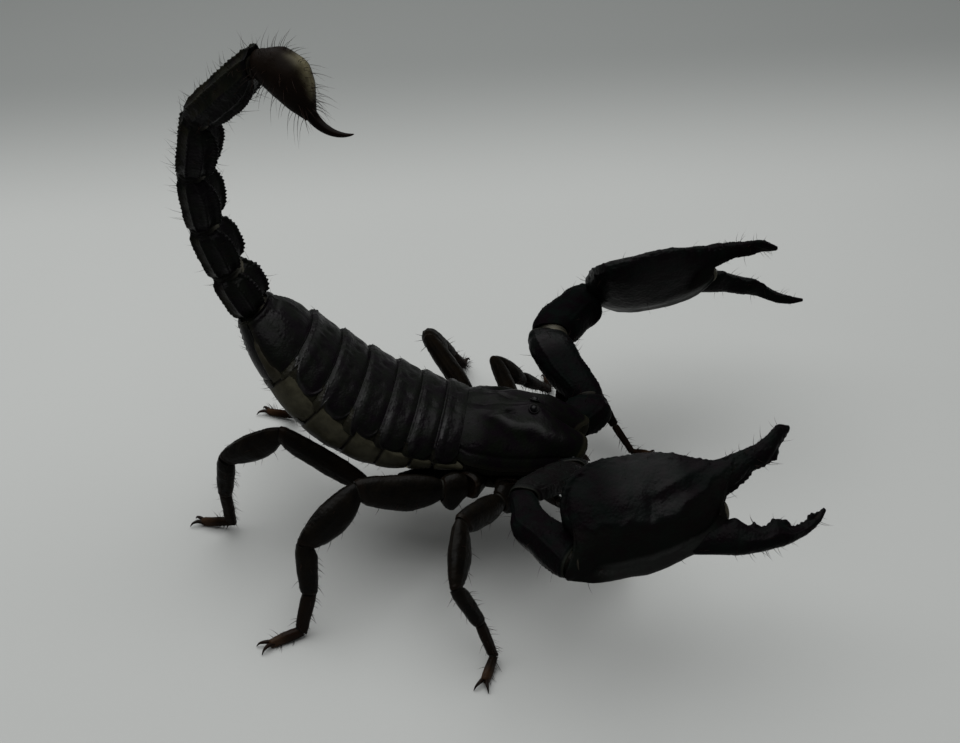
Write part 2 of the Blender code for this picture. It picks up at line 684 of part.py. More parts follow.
def palp_places(side):
    """Frames of a pedipalp's trochanter, femur and patella, and the frame of its claw.

    The claw's axis runs along it, its up points across it to the fixed finger, and its side is
    turned so that it points away from the body.
    """
    *poses, roll, _ = PALP_POSE[side]
    here = on_prosoma(mirrored(PALP_SOCKET, side))
    places = []
    for length, pose in zip(PALP_LENGTHS, poses):
        places.append(frame(here, heading(*pose), np.array((0.0, 0.0, 1.0))))
        here = here + places[-1].axis * length
    axis = heading(*poses[3])
    upright = frame(here, axis, np.array((0.0, 0.0, 1.0)))
    inwards = upright.side if side == "right" else -upright.side
    c, s = turned(roll)
    across = upright.up * c + inwards * s
    return places, Frame(here, axis, across, upright.up * s - inwards * c)


def claw_rings(place, rows, opening=0.0):
    """Rings of a claw part from its rows, turned about the finger's hinge if it is opened."""
    c, s = turned(-opening)
    hinge = np.array(FINGER_HINGE)
    joint = np.array(CLAW_JOINT)

    def spot(point):
        x, w = np.asarray(point) - hinge
        flat = (np.array((x * c - w * s, x * s + w * c)) + hinge - joint) * CLAW_SCALE
        out = np.interp(point[0], *zip(*CLAW_BOW)) * CLAW_SCALE
        out -= CLAW_CUPPING * max(point[1], 0.0) ** 2 * max(1.0 - point[0] / 14.0, 0.0)
        return place.origin + place.axis * flat[0] + place.up * flat[1] + place.side * out

    rings = []
    for low, high, thickness in rows:
        bottom, top = spot(low), spot(high)
        middle, reach = (bottom + top) / 2, (top - bottom) / 2
        angles = np.arange(14) * math.tau / 14
        swell = thickness * CLAW_SCALE * (1.0 - CLAW_INNER_THINNING * np.cos(angles))
        rings.append(middle + np.outer(np.cos(angles), reach) +
                     np.outer(np.sin(angles) * swell, place.side))
    return rings


def palp_ring(place, wide, deep):
    """Ring of a pedipalp's arm."""
    return oval(place, wide, deep, deep, 12, 2.5)


def build_palp_piece(side, k, name, pad=0.0):
    """One piece of a pedipalp's arm, swollen by a pad."""
    places, claw = palp_places(side)
    planes = joint_planes(places + [claw])
    sections = [[(share, PALP_HALF_WIDTH[k] * scale + pad, PALP_HALF_DEPTH[k] * scale + pad)
                 for share, scale in PALP_SHAPES[k]]]
    ends = planes[k:k + 2]
    if pad and k == len(PALP_LENGTHS) - 1:
        ends[1] = (ends[1][0] + ends[1][1] * 0.7 * GAP, ends[1][1])
    return loft(name, mitred(places[k:k + 1], ends, sections, palp_ring), BLACK)


def build_palp(side, shield_space):
    """One pedipalp: trochanter, femur, patella, hand with fixed finger, and free finger.

    The trochanter is cut clear of the shield's corner, and the hand clear of the patella's end.
    """
    places, claw = palp_places(side)
    point, normal = joint_planes(places + [claw])[-1]
    opening = PALP_POSE[side][-1]
    trochanter = build_palp_piece(side, 0, f"pedipalp_{side}_trochanter")
    cut_with(trochanter, [shield_space], "DIFFERENCE")
    build_palp_piece(side, 1, f"pedipalp_{side}_femur")
    build_palp_piece(side, 2, f"pedipalp_{side}_patella")
    space = build_palp_piece(side, 2, f"guide_wrist_{side}", GAP)
    rings = claw_rings(claw, CLAW_HAND)
    rings[0] = slid(rings[0], claw.axis, point + normal * GAP / 2, normal)
    hand = loft(f"pedipalp_{side}_hand", rings, BLACK)
    cut_with(hand, [space], "DIFFERENCE")
    loft(f"pedipalp_{side}_finger", claw_rings(claw, CLAW_FINGER, opening), BLACK)


def centre_on_floor():
    """Move all meshes so that the origin is under the middle of the animal, on the floor."""
    graph = bpy.context.evaluated_depsgraph_get()
    corners = []
    for item in bpy.data.objects:
        if item.type == "MESH" and not item.hide_render:
            mesh = item.evaluated_get(graph).to_mesh()
            flat = np.empty(len(mesh.vertices) * 3)
            mesh.vertices.foreach_get("co", flat)
            corners += [flat.reshape(-1, 3).min(axis=0), flat.reshape(-1, 3).max(axis=0)]
            item.evaluated_get(graph).to_mesh_clear()
    low, high = np.min(corners, axis=0), np.max(corners, axis=0)
    shift = Vector((-(low[0] + high[0]) / 2, -(low[1] + high[1]) / 2, -low[2]))
    for item in bpy.data.objects:
        if item.type == "MESH":
            item.data.transform(Matrix.Translation(shift))


def main():
    """Build the whole animal in an empty file."""
    for item in list(bpy.data.objects):
        bpy.data.objects.remove(item, do_unlink=True)
    build_head()
    shield_space = build_carapace("guide_shield", GAP)
    build_underside(shield_space)
    rows = abdomen_frames()
    tail = tail_frames(rows[-1][-1].origin)
    build_abdomen(rows, tail[0])
    build_tail(tail, rows[-1][-1])
    build_telson(tail)
    for side in ("right", "left"):
        build_chelicera(side)
        build_comb(side)
        build_palp(side, shield_space)
        for number in LEG_SOCKET:
            build_leg(side, number)
    centre_on_floor()


main()
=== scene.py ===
# %% [markdown]
# # A life-size forest scorpion
# This lesson builds one still animal: a large black scorpion of the genus Heterometrus, standing
# on a pale studio floor with its tail curled up and its claws held forwards. A scorpion wears its
# skeleton outside, hard black plates joined by soft pale skin. So the model is made plate by
# plate, and every plate is one formula worked out on a grid of points.

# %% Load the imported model
import math
from collections import namedtuple

import bpy
import numpy as np
from mathutils import Matrix, Vector


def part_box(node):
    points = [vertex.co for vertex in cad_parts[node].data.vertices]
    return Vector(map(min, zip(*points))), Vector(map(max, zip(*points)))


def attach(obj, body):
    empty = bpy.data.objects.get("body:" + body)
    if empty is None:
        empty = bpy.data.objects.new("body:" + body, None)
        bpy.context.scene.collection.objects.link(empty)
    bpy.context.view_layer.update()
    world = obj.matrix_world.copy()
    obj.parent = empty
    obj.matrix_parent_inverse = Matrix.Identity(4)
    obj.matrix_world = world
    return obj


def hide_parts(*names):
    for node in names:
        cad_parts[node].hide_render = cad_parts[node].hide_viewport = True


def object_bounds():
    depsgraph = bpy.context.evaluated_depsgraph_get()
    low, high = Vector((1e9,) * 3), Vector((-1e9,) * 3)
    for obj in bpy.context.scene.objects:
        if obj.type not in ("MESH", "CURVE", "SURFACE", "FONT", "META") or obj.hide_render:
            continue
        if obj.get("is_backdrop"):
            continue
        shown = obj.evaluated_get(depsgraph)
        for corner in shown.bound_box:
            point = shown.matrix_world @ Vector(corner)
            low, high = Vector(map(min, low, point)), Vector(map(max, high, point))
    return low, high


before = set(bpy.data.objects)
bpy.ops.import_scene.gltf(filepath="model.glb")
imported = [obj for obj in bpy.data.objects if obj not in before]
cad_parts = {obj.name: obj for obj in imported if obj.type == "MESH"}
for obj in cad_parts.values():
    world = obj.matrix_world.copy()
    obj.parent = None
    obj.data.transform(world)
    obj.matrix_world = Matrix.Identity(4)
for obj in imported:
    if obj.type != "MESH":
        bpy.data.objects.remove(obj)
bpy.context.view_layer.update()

MM = 0.001

# %% [markdown]
# ## Measurements
# Lengths are millimetres and angles degrees, in a frame whose X axis points where the animal
# looks, Y to its left and Z up. The head shield tips forwards by nine degrees, so its own places
# go through on_prosoma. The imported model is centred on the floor, and the middle of an eye tells
# how far it was moved.

# %% Directions and frames
Place = namedtuple("Place", "origin axis up side")

GAP = 0.3
BODY_HEIGHT, BODY_PITCH = 15.0, -9.0
EYE_PLACE, EYE_RADIUS = (9.4, 1.15, 8.25), 0.6
UP = np.array((0.0, 0.0, 1.0))
TURN = {"left": 1, "right": -1}


def turned(angle):
    """Cosine and sine of an angle in degrees."""
    return math.cos(math.radians(angle)), math.sin(math.radians(angle))


def unit(vector):
    """The vector, or each row of vectors, divided by its length."""
    return vector / (np.linalg.norm(vector, axis=-1, keepdims=True) + 1e-12)


def heading(azimuth, pitch=0.0):
    """Direction at an azimuth round Z, counted from +X, and a pitch above the floor."""
    (across, rise), (x, y) = turned(pitch), turned(azimuth)
    return np.array((across * x, across * y, rise))


def placed(origin, axis, up=UP):
    """Frame with a unit axis, an up made square to it, and side = up x axis."""
    axis = unit(np.asarray(axis, float))
    up = unit(np.asarray(up, float) - axis * np.dot(up, axis))
    return Place(np.asarray(origin, float), axis, up, np.cross(up, axis))


def moved(origin, *steps):
    """Origin + each length * its direction; lengths may be whole arrays."""
    for length, way in steps:
        origin = origin + np.asarray(length)[..., None] * way
    return origin


def on_prosoma(place):
    """Place on the tipped head shield: a turn round Y, then a lift to the body's height."""
    x, y, z = (np.asarray(value, float) for value in place)
    c, s = turned(BODY_PITCH)
    return np.stack((x * c - z * s, y + 0 * x, BODY_HEIGHT + x * s + z * c), axis=-1)


def tipped(way):
    """Direction on the tipped head shield: the same turn with no lift."""
    return on_prosoma(way) - on_prosoma((0, 0, 0))


def mirrored(place, side):
    """A left-hand place, or its mirror image for the right side."""
    return (place[0], place[1] * TURN[side], place[2])


SHIFT = np.mean(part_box("median_eye_left"), axis=0) / MM - on_prosoma(EYE_PLACE)
print("the packed model is moved by", SHIFT.round(3), "mm")

# %% [markdown]
# ## Helpers for curves and roughness
# Measured sizes come as a few rows, and a smooth curve through them must not swing past them, or
# a limb would bulge where the real one doesn't. A cubic whose slope is the harmonic mean of its
# neighbours' slopes does that. Roughness comes from two lattices: random values blended between
# corners make soft unevenness, and one round grain per cell makes the beads on the keels.

# %% Curves, noise and grains
def smooth(at, xs, ys):
    """Cubic through points; each slope is the harmonic mean of the two steps beside it."""
    xs, ys = np.asarray(xs, float), np.asarray(ys, float)
    step = np.diff(xs)
    rise = np.diff(ys) / step
    before, after = rise[:-1], rise[1:]
    turn = before * after > 0
    inner = np.where(turn, 2 * before * after / np.where(turn, before + after, 1.0), 0.0)
    slope = np.concatenate((rise[:1], inner, rise[-1:]))
    k = np.clip(np.searchsorted(xs, at, side="right") - 1, 0, len(xs) - 2)
    u = np.clip((at - xs[k]) / step[k], 0.0, 1.0)
    hermite = (2 * u ** 3 - 3 * u ** 2 + 1) * ys[k] + (3 * u ** 2 - 2 * u ** 3) * ys[k + 1]
    bend = (u ** 3 - 2 * u ** 2 + u) * slope[k] + (u ** 3 - u ** 2) * slope[k + 1]
    return hermite + step[k] * bend


def ramp(value, low, high):
    """0 at low, 1 at high, a smooth S between, and it falls where low is the larger."""
    u = np.clip((value - low) / (high - low), 0.0, 1.0)
    return u * u * (3 - 2 * u)


def span(value, a, b, c, d):
    """A ramp up from a to b times a ramp down from c to d."""
    return ramp(value, a, b) * ramp(value, d, c)


def bump(value, centre, width):
    """Bell of height one: e to the minus square of the distance in widths."""
    return np.exp(-((value - centre) / width) ** 2)


def around(q, centre, width):
    """Bell round a section: the distance between two turns is taken the short way."""
    return bump((q - centre + 0.5) % 1.0 - 0.5, 0, width)


def circle(q):
    """Cosine and sine of whole turns."""
    return np.cos(math.tau * q), np.sin(math.tau * q)


def mottle(points, size, seed):
    """Soft noise from -1 to 1: random corners of a cubic lattice, blended with S curves."""
    table = np.random.default_rng(seed).uniform(-1, 1, (24, 24, 24))
    cell = np.floor(points / size)
    u = ramp(points / size - cell, 0, 1)
    total = 0.0
    for corner in np.ndindex(2, 2, 2):
        weight = np.prod(np.where(np.array(corner) == 1, u, 1 - u), axis=-1)
        x, y, z = np.moveaxis((cell.astype(int) + corner) % 24, -1, 0)
        total = total + weight * table[x, y, z]
    return total


def near_two(points, spacing, seed):
    """Distances, in cells, to the nearest and second nearest jittered spot of a lattice."""
    jitter = np.random.default_rng(seed).uniform(0.15, 0.85, (16, 16, 16, 3))
    scaled = points / spacing
    first = np.full(points.shape[:-1], 9.0)
    second = first.copy()
    for step in np.ndindex(3, 3, 3):
        corner = np.floor(scaled) + step - np.ones(3)
        x, y, z = np.moveaxis(corner.astype(int) % 16, -1, 0)
        gap = np.linalg.norm(scaled - corner - jitter[x, y, z], axis=-1)
        second = np.minimum(second, np.maximum(first, gap))
        first = np.minimum(first, gap)
    return first, second


def grains(points, spacing, seed, radius=0.42):
    """Round beads from 0 to 1: one minus the squared distance to a bead's middle in radii."""
    return np.clip(1 - (near_two(points, spacing, seed)[0] / radius) ** 2, 0, 1)


def network(points, spacing, seed, width):
    """Low ridges along the borders of cells, where the two nearest spots are equally far."""
    first, second = near_two(points, spacing, seed)
    return bump(second, first, width)


print("a curve through 0, 1, 0 peaks at", smooth(np.linspace(0, 2, 9), (0, 1, 2), (0, 1, 0)).max())

# %% [markdown]
# ## From a grid to a closed skin
# Two kinds of skin cover every piece. A tube is a grid whose columns run round and whose first
# and last rows shrink to one point: limbs, tail rings and hairs. A plate is an outer and an inner
# grid joined by a rounded wall along their border: the shields of the back and belly. Both are
# closed, and the sign of the volume tells whether the faces must be turned to point outwards.

# %% Tubes and plates
Part = namedtuple("Part", "points quads tris values")


def outwards(points, quads, tris, values):
    """Part with its faces outwards: their signed volume, a sum of a . (b x c), is positive."""
    halves = np.concatenate((tris, quads[:, :3], quads[:, [0, 2, 3]]))
    a, b, c = (points[halves[:, n]] - points.mean(axis=0) for n in range(3))
    if np.einsum("ij,ij->", a, np.cross(b, c)) < 0:
        quads, tris = quads[:, ::-1], tris[:, ::-1]
    return Part(points, quads, tris, values)


def tube(grid, **values):
    """Closed skin over a grid: columns join round, the first and last rows are single points."""
    rows, columns = grid.shape[:2]

    def flat(array):
        """The values of the grid in one list, with one more for its first and its last row."""
        body = array[1:-1].reshape(-1, *array.shape[2:])
        return np.concatenate((array[:1, 0], body, array[-1:, 0]))

    ring = 1 + np.arange((rows - 2) * columns).reshape(rows - 2, columns)
    after = np.roll(ring, -1, axis=1)
    quads = np.stack((ring[:-1], after[:-1], after[1:], ring[1:]), axis=-1).reshape(-1, 4)
    first = np.stack((np.zeros(columns, int), after[0], ring[0]), axis=-1)
    last = np.stack((np.full(columns, ring[-1, -1] + 1), ring[-1], after[-1]), axis=-1)
    flats = {name: flat(np.broadcast_to(value, (rows, columns))) for name, value in values.items()}
    return outwards(flat(grid), quads, np.concatenate((first, last)), flats)


def plate(outer, inner, levels=4, swell=0.1, **values):
    """Closed shell of two grids and a wall; the wall swells outwards as a half sine."""
    shape = rows, columns = outer.shape[:2]
    count = rows * columns
    index = np.arange(count).reshape(shape)
    faces = np.stack((index[:-1, :-1], index[1:, :-1], index[1:, 1:], index[:-1, 1:]), axis=-1)
    faces = faces.reshape(-1, 4)
    row, column = np.indices(shape)
    loop = np.concatenate((index[0, :-1], index[:-1, -1], index[-1, :0:-1], index[:0:-1, 0]))
    inside = index[np.clip(row, 1, rows - 2), np.clip(column, 1, columns - 2)].ravel()[loop]
    top, low = outer.reshape(-1, 3), inner.reshape(-1, 3)
    away = unit(top[loop] - top[inside])
    walls = [top[loop] * (1 - w) + low[loop] * w + away * swell * math.sin(math.pi * w)
             for w in np.arange(1, levels + 1) / (levels + 1)]
    borders = [2 * count + n * len(loop) + np.arange(len(loop)) for n in range(levels)]
    borders = [loop] + borders + [count + loop]
    quads = [faces, faces[:, ::-1] + count]
    quads += [np.stack((a, b, np.roll(b, -1), np.roll(a, -1)), axis=-1)
              for a, b in zip(borders, borders[1:])]
    flats = {}
    for name, value in values.items():
        own = np.broadcast_to(value, shape).ravel()
        flats[name] = np.concatenate((own, own, np.tile(own[loop], levels)))
    points = np.concatenate([top, low] + walls)
    return outwards(points, np.concatenate(quads), np.zeros((0, 3), int), flats)


square = np.stack(np.meshgrid((0, 1, 2), (0, 1, 2), (0.0,), indexing="ij"), -1)[:, :, 0]
print("a plate of 3 x 3 points has", len(plate(square, square - UP).points), "points with its wall")

# %% [markdown]
# ### Relief and objects
# A grid has its own normals, so a keel, a grain or a wrinkle is a height along them. One more
# function turns parts into an object: the vertices, corners and faces go in as whole arrays, and
# the values tone and dull become attributes that the finishes read.

# %% Relief and objects
def grid_normals(grid, wraps=True):
    """Unit normals of a grid: the cross product of its steps down and across, turned outwards."""
    across = np.roll(grid, -1, 1) - np.roll(grid, 1, 1) if wraps else np.gradient(grid, axis=1)
    normal = unit(np.cross(np.gradient(grid, axis=0), across))
    away = grid - grid.mean(axis=1, keepdims=True)
    return normal * np.sign(np.einsum("ijk,ijk->", normal, away))


def raised(grid, height, wraps=True):
    """The grid moved along its normals by a height at each point."""
    return moved(grid, (height, grid_normals(grid, wraps)))


def closed(grid, height=0.0):
    """The grid with its first and last row drawn to a point, and the rest raised."""
    grid[0], grid[-1] = grid[0].mean(axis=0), grid[-1].mean(axis=0)
    grid[1:-1] = raised(grid, height)[1:-1]
    return grid


TRIANGLES = {}


def make(name, parts, finish, nodes=()):
    """One object from parts in millimetres: it rides on the body and may replace solids."""
    parts = [parts] if isinstance(parts, Part) else parts
    starts = np.cumsum([0] + [len(part.points) for part in parts])
    points = (np.concatenate([part.points for part in parts]) + SHIFT) * MM
    quads = np.concatenate([part.quads + start for part, start in zip(parts, starts)])
    tris = np.concatenate([part.tris + start for part, start in zip(parts, starts)]).astype(int)
    corners = np.concatenate((quads.ravel(), tris.ravel()))
    heads = np.concatenate((np.arange(len(quads)) * 4, quads.size + np.arange(len(tris)) * 3))
    mesh = bpy.data.meshes.new(name)
    mesh.vertices.add(len(points))
    mesh.vertices.foreach_set("co", points.astype(np.float32).ravel())
    mesh.loops.add(len(corners))
    mesh.loops.foreach_set("vertex_index", corners.astype(np.int32))
    mesh.polygons.add(len(heads))
    mesh.polygons.foreach_set("loop_start", heads.astype(np.int32))
    mesh.update(calc_edges=True)
    mesh.validate()
    for key in ("tone", "dull"):
        shades = [part.values.get(key, np.zeros(len(part.points))) for part in parts]
        layer = mesh.attributes.new(key, "FLOAT", "POINT")
        layer.data.foreach_set("value", np.concatenate(shades).astype(np.float32))
    mesh.materials.append(finish.material)
    mesh.shade_smooth()
    made = bpy.data.objects.new(name, mesh)
    bpy.context.collection.objects.link(made)
    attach(made, "root")
    if nodes:
        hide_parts(*nodes)
    TRIANGLES[name] = 2 * len(quads) + len(tris)
    return made


print("a millimetre is", MM, "in the scene")

# %% [markdown]
# ## What the surfaces are made of
# The hard plates are sclerotised cuticle, chitin hardened and darkened by tanned protein, with a
# thin wax film. It is almost black, reflects like a plastic (IOR about 1.55) and is never mirror
# smooth: grains of about 0.35 mm and finer wrinkles break the gloss. Each finish reads object
# coordinates, and two attributes for what follows the shape. Tone, from 0 to 1, leads to a second
# colour. Dull scales the reflections: 1 takes almost all of them, 0 leaves them and -4 makes them
# stronger. It is laid on as painted shade where it is high and as painted highlights below nought.

# %% Material helpers
Finish = namedtuple("Finish", "material slot")

IOR = 1.55
# ends of dull: painted highlight at -4, painted shade at 1, each with its share of the specular
# level
PAINTED_HIGHLIGHT_END, PAINTED_SHADE_END = (-4.0, 4.84), (1.0, 0.04)    # dull, and its share of the specular level
PATCHES, WRINKLES = 0.45, 4.0                 # patches of colour and wrinkles in a millimetre


def linear(code):
    """Linear colour from an sRGB hex value such as 1a2b3c."""
    values = np.array([int(code[n:n + 2], 16) for n in (0, 2, 4)]) / 255
    low, high = values / 12.92, ((values + 0.055) / 1.055) ** 2.4
    return (*np.where(values <= 0.04045, low, high), 1.0)


def add(tree, kind, sockets=None, **settings):
    """A node with its settings; each socket gets a value, or a link from another's output."""
    made = tree.nodes.new("ShaderNode" + kind)
    for key, value in settings.items():
        setattr(made, key, value)
    for key, value in (sockets or {}).items():
        if isinstance(value, bpy.types.NodeSocket):
            tree.links.new(value, made.inputs[key])
        else:
            made.inputs[key].default_value = value
    return made


def node_material(name):
    """Empty node material, its tree and the object coordinates in it."""
    made = bpy.data.materials.new(name)
    made.use_nodes = True
    made.node_tree.nodes.clear()
    return made, made.node_tree, add(made.node_tree, "TexCoord").outputs["Object"]


def blended(tree, factor, low, high):
    """Colour ramp driven by a factor, from one (place, hex) stop to another."""
    made = add(tree, "ValToRGB", {"Fac": factor})
    for stop, (place, code) in zip(made.color_ramp.elements, (low, high)):
        stop.position, stop.color = place, linear(code)
    return made.outputs["Color"]


def cuticle(name, slot, plain, spots, toned, roughness, grain=0.35, depth=0.03, wrinkle=0.02,
            specular=0.05):
    """Hard cuticle.

    A soft noise mixes the colours plain and spots, and toned is the colour where tone is one.
    roughness is the range of the gloss, and specular its strength where dull is nought. grain is
    the spacing of the beads, depth their height and wrinkle that of the wrinkles, in millimetres.
    """
    made, tree, where = node_material(name)
    tone, dull = (add(tree, "Attribute", attribute_name=key).outputs["Fac"]
                  for key in ("tone", "dull"))
    broad = add(tree, "TexNoise", {"Vector": where, "Scale": PATCHES / MM, "Detail": 4.0,
                                   "Roughness": 0.6})
    fine = add(tree, "TexNoise", {"Vector": where, "Scale": WRINKLES / MM, "Detail": 3.0,
                                  "Roughness": 0.65})
    beads = add(tree, "TexVoronoi", {"Vector": where, "Scale": 1.0 / (grain * MM),
                                     "Smoothness": 0.6}, feature="SMOOTH_F1")
    colour = blended(tree, broad.outputs["Fac"], (0.38, plain), (0.62, spots))
    colour = add(tree, "MixRGB", {"Fac": tone, "Color1": colour, "Color2": linear(toned)})
    # gloss: broad patches are rougher, and dull paints shade and highlights into the reflections
    gloss = add(tree, "MapRange", {
        "Value": broad.outputs["Fac"], "From Min": 0.35, "From Max": 0.65,
        "To Min": roughness[0], "To Max": roughness[1]})
    sheen = add(tree, "MapRange", {
        "Value": dull, "From Min": PAINTED_HIGHLIGHT_END[0], "From Max": PAINTED_SHADE_END[0],
        "To Min": specular * PAINTED_HIGHLIGHT_END[1], "To Max": specular * PAINTED_SHADE_END[1]})
    low = add(tree, "Bump", {"Height": fine.outputs["Fac"], "Strength": 1.0,
                             "Distance": wrinkle * MM})
    high = add(tree, "Bump", {"Height": beads.outputs["Distance"], "Strength": 1.0,
                              "Distance": depth * MM, "Normal": low.outputs["Normal"]}, invert=True)
    shader = add(tree, "BsdfPrincipled", {
        "Base Color": colour.outputs["Color"], "Roughness": gloss.outputs["Result"], "IOR": IOR,
        "Specular IOR Level": sheen.outputs["Result"], "Normal": high.outputs["Normal"]})
    add(tree, "OutputMaterial", {"Surface": shader.outputs["BSDF"]})
    return Finish(made, slot)


print("linear grey of 808080 is", round(float(linear("808080")[0]), 3))

# %% [markdown]
# ### The finishes
# Body plates, the thinner brown cuticle of feet, sting and mouth claws, the combs, the eye lenses
# and the bristles each get a finish. Soft joint skin (arthrodial membrane) is untanned cuticle:
# cream to olive, leathery, with folds about 0.2 mm apart.

# %% Finishes
BLACK, BROWN = "black_cuticle", "brown_cuticle"
black = cuticle("sclerotised_cuticle", BLACK, "070407", "070906", "1c1b13", (0.30, 0.44))
hand_black = cuticle("claw_cuticle", BLACK, "070406", "060908", "24251f", (0.32, 0.46),
                     0.45, 0.045, 0.03)
leg_black = cuticle("leg_cuticle", BLACK, "050403", "0a0704", "180f09", (0.32, 0.46),
                    0.4, 0.03, 0.03)
foot_brown = cuticle("thin_brown_cuticle", BROWN, "150b06", "0e0804", "2b1e14", (0.34, 0.48),
                     0.4, 0.02, 0.02)
bulb_brown = cuticle("vesicle_cuticle", BROWN, "0b0705", "0e0906", "4e4936", (0.40, 0.50),
                     0.5, 0.02, 0.015)
sting_brown = cuticle("sting_cuticle", BROWN, "0c0603", "050303", "0c0603", (0.22, 0.3),
                      0.5, 0.0, 0.01)
comb_pale = cuticle("comb_cuticle", "pale_comb_cuticle", "8a7a58", "a08f6a", "5a4a30", (0.42, 0.55),
                    0.3, 0.015, 0.01)
joint_skin = cuticle("arthrodial_membrane", BLACK, "34322a", "423f34", "080706", (0.45, 0.6),
                     0.22, 0.03, 0.03)
flank_skin = cuticle("pleural_membrane", BLACK, "28261d", "38362b", "0d0a06", (0.40, 0.55),
                     0.6, 0.012, 0.012)
eye_lens = cuticle("eye_cornea", "eye_cornea", "040405", "070709", "0b0b0e", (0.12, 0.16),
                   0.5, 0.0, 0.0, 0.09)
bristle_brown = cuticle("bristle_cuticle", BROWN, "0a0503", "120805", "1e100a", (0.35, 0.45),
                        0.5, 0.0, 0.0)
print(len(bpy.data.materials), "materials in the file")

# %% [markdown]
# ## Limb pieces
# An arthropod limb is a row of hard tubes. Each ends in a rolled lip with a hollow behind it, and
# the next tube comes out of that hollow. The formula carries a section along a straight axis and
# slants both ends until they lie in the plane halfway through each bend. The slant fades with the
# cube of the distance from the end, so the middle of the tube stays true.

# %% Tubes with rolled lips
ROLL = np.array(((0.0, 1.0), (0.45, 1.0), (0.78, 0.85), (0.87, 0.3), (0.93, 0.02), (0.975, -0.04),
                 (0.995, 0.03)))


def limb(place, length, outline, start, end, rows=60, columns=64, dish=(0.5, 0.5)):
    """Grid of a tube, with its shares along and round, and a mask that is 0 on its lips.

    Middle + side * X + up * Z + axis * A, where X and Z come from the outline and A runs from
    the start plane to the end plane. ROLL holds shares of the section and of the hollow's depth.
    """
    u = np.linspace(0.015, 0.985, rows)
    lip = np.zeros(len(ROLL))
    t = np.concatenate((lip, 0.4 * u + 0.3 * (1 - np.cos(np.pi * u)), lip + 1))[:, None]
    scale = np.concatenate((ROLL[:, 0], np.ones(rows), ROLL[::-1, 0]))[:, None]
    inset = np.concatenate((ROLL[:, 1] * dish[0], 0 * u, -ROLL[::-1, 1] * dish[1]))[:, None]
    q = np.arange(columns)[None, :] / columns
    across, height = (value * scale for value in outline(t, q))

    def crossing(plane):
        """Distance along the axis at which each line of the tube meets the plane."""
        point, normal = plane
        slope = across * np.dot(place.side, normal) + height * np.dot(place.up, normal)
        return -(slope + np.dot(place.origin - point, normal)) / np.dot(place.axis, normal)

    along = t * length + crossing(start) * (1 - t) ** 3 + (crossing(end) - length) * t ** 3 + inset
    grid = moved(place.origin, (across, place.side), (height, place.up), (along, place.axis))
    return (grid, *np.broadcast_arrays(t, q), ramp(scale, 0.9, 1.0))


def squircle(q, power=2.2):
    """Cosine and sine of the turn q, each raised to 2 / power with its sign kept."""
    c, s = circle(q)
    return np.sign(c) * np.abs(c) ** (2 / power), np.sign(s) * np.abs(s) ** (2 / power)


def joint_planes(places, tip):
    """Plane at the start of each place, halfway through the bend, and one across the tip."""
    planes = [(places[0].origin, places[0].axis)]
    for before, after in zip(places, places[1:]):
        planes.append((after.origin, unit(before.axis + after.axis)))
    return planes + [(tip, places[-1].axis)]


def ends(planes, number, gap=GAP / 2):
    """Start and end plane of a piece, each held back by half a gap."""
    (a, m), (b, n) = planes[number], planes[number + 1]
    return (a + m * gap, m), (b - n * gap, n)


def knuckle(before, after, half_width, half_height, reach=1.1, folds=3, rows=18, columns=32,
            dark=0.6, glint_window=0.0):
    """Soft skin round a joint: ovals along a bend, a quadratic curve, with ring folds.

    A window is a pale place in the dark skin, a bell round the upper side, where the membrane
    shows and a painted glint lies on it. Painted shade darkens the valleys between the folds.
    """
    u = np.linspace(0, 1, rows)[:, None]
    q = np.arange(columns) / columns
    middle = after.origin - before.axis * reach * (1 - u) ** 2 + after.axis * reach * u ** 2
    axis = unit((1 - u) * before.axis + u * after.axis)
    side = unit(np.cross((1 - u) * before.up + u * after.up, axis))
    fold = np.cos(math.tau * folds * u)
    swell = 1 + 0.08 * np.sin(np.pi * u) + 0.045 * fold
    swell[0] = swell[-1] = 0.0
    c, s = squircle(q, 2.1)
    grid = moved(middle[:, None], (swell * half_width * c, side[:, None]),
                 (swell * half_height * s, np.cross(axis, side)[:, None]))
    glint_pane = glint_window * around(q, 0.25, 0.09)
    # painted shade in the fold valleys, and a painted glint (dull -3) on the window
    return tube(grid, tone=(dark + (1 - dark) * (0.5 - 0.5 * fold)) * (1 - glint_pane), dull=-3.0 * glint_pane)


print("each limb lip rolls in over", len(ROLL), "rows")

# %% [markdown]
# ### Where the bristles stand
# Every piece that carries bristles says where, how many and how long, and their roots wait in a
# list until the last piece is made. Then each group becomes one mesh.

# %% Bristle beds
BEDS = []


def bed(group, grid, weight, count, lengths, thick, seed, lean=0.5, skip=9):
    """Keep places for bristles: picked points of a grid, likelier where the weight is high."""
    random = np.random.default_rng(seed)
    weight = np.broadcast_to(weight, grid.shape[:2]).astype(float).copy()
    weight[:skip], weight[len(weight) - skip:] = 0.0, 0.0
    share = weight.ravel() / weight.sum()
    picked = random.choice(share.size, min(count, int((share > 0).sum())), replace=False, p=share)
    row, column = np.unravel_index(picked, weight.shape)
    along = unit(np.gradient(grid, axis=0)[row, column])
    lean = lean * random.uniform(0.3, 1.4, len(picked))[:, None]
    skew = random.normal(0, 0.22, (len(picked), 3))
    way = unit(grid_normals(grid)[row, column] + along * lean + skew)
    BEDS.append((group, grid[row, column], way, along,
                 random.uniform(*lengths, len(picked)), np.full(len(picked), thick),
                 np.stack((row / grid.shape[0], column / grid.shape[1]), axis=-1)))


print("beds so far:", len(BEDS))

# %% [markdown]
# ## The head shield
# The carapace is one plate over the whole front of the body: a low dome with a notch in the front
# edge, a mound with the two main eyes, a furrow down the middle that opens to a pit at the rear,
# and a wavy shoulder where the smooth top turns into the grainy flanks. A height formula over
# length and width holds all of it, and a flat floor closes it.

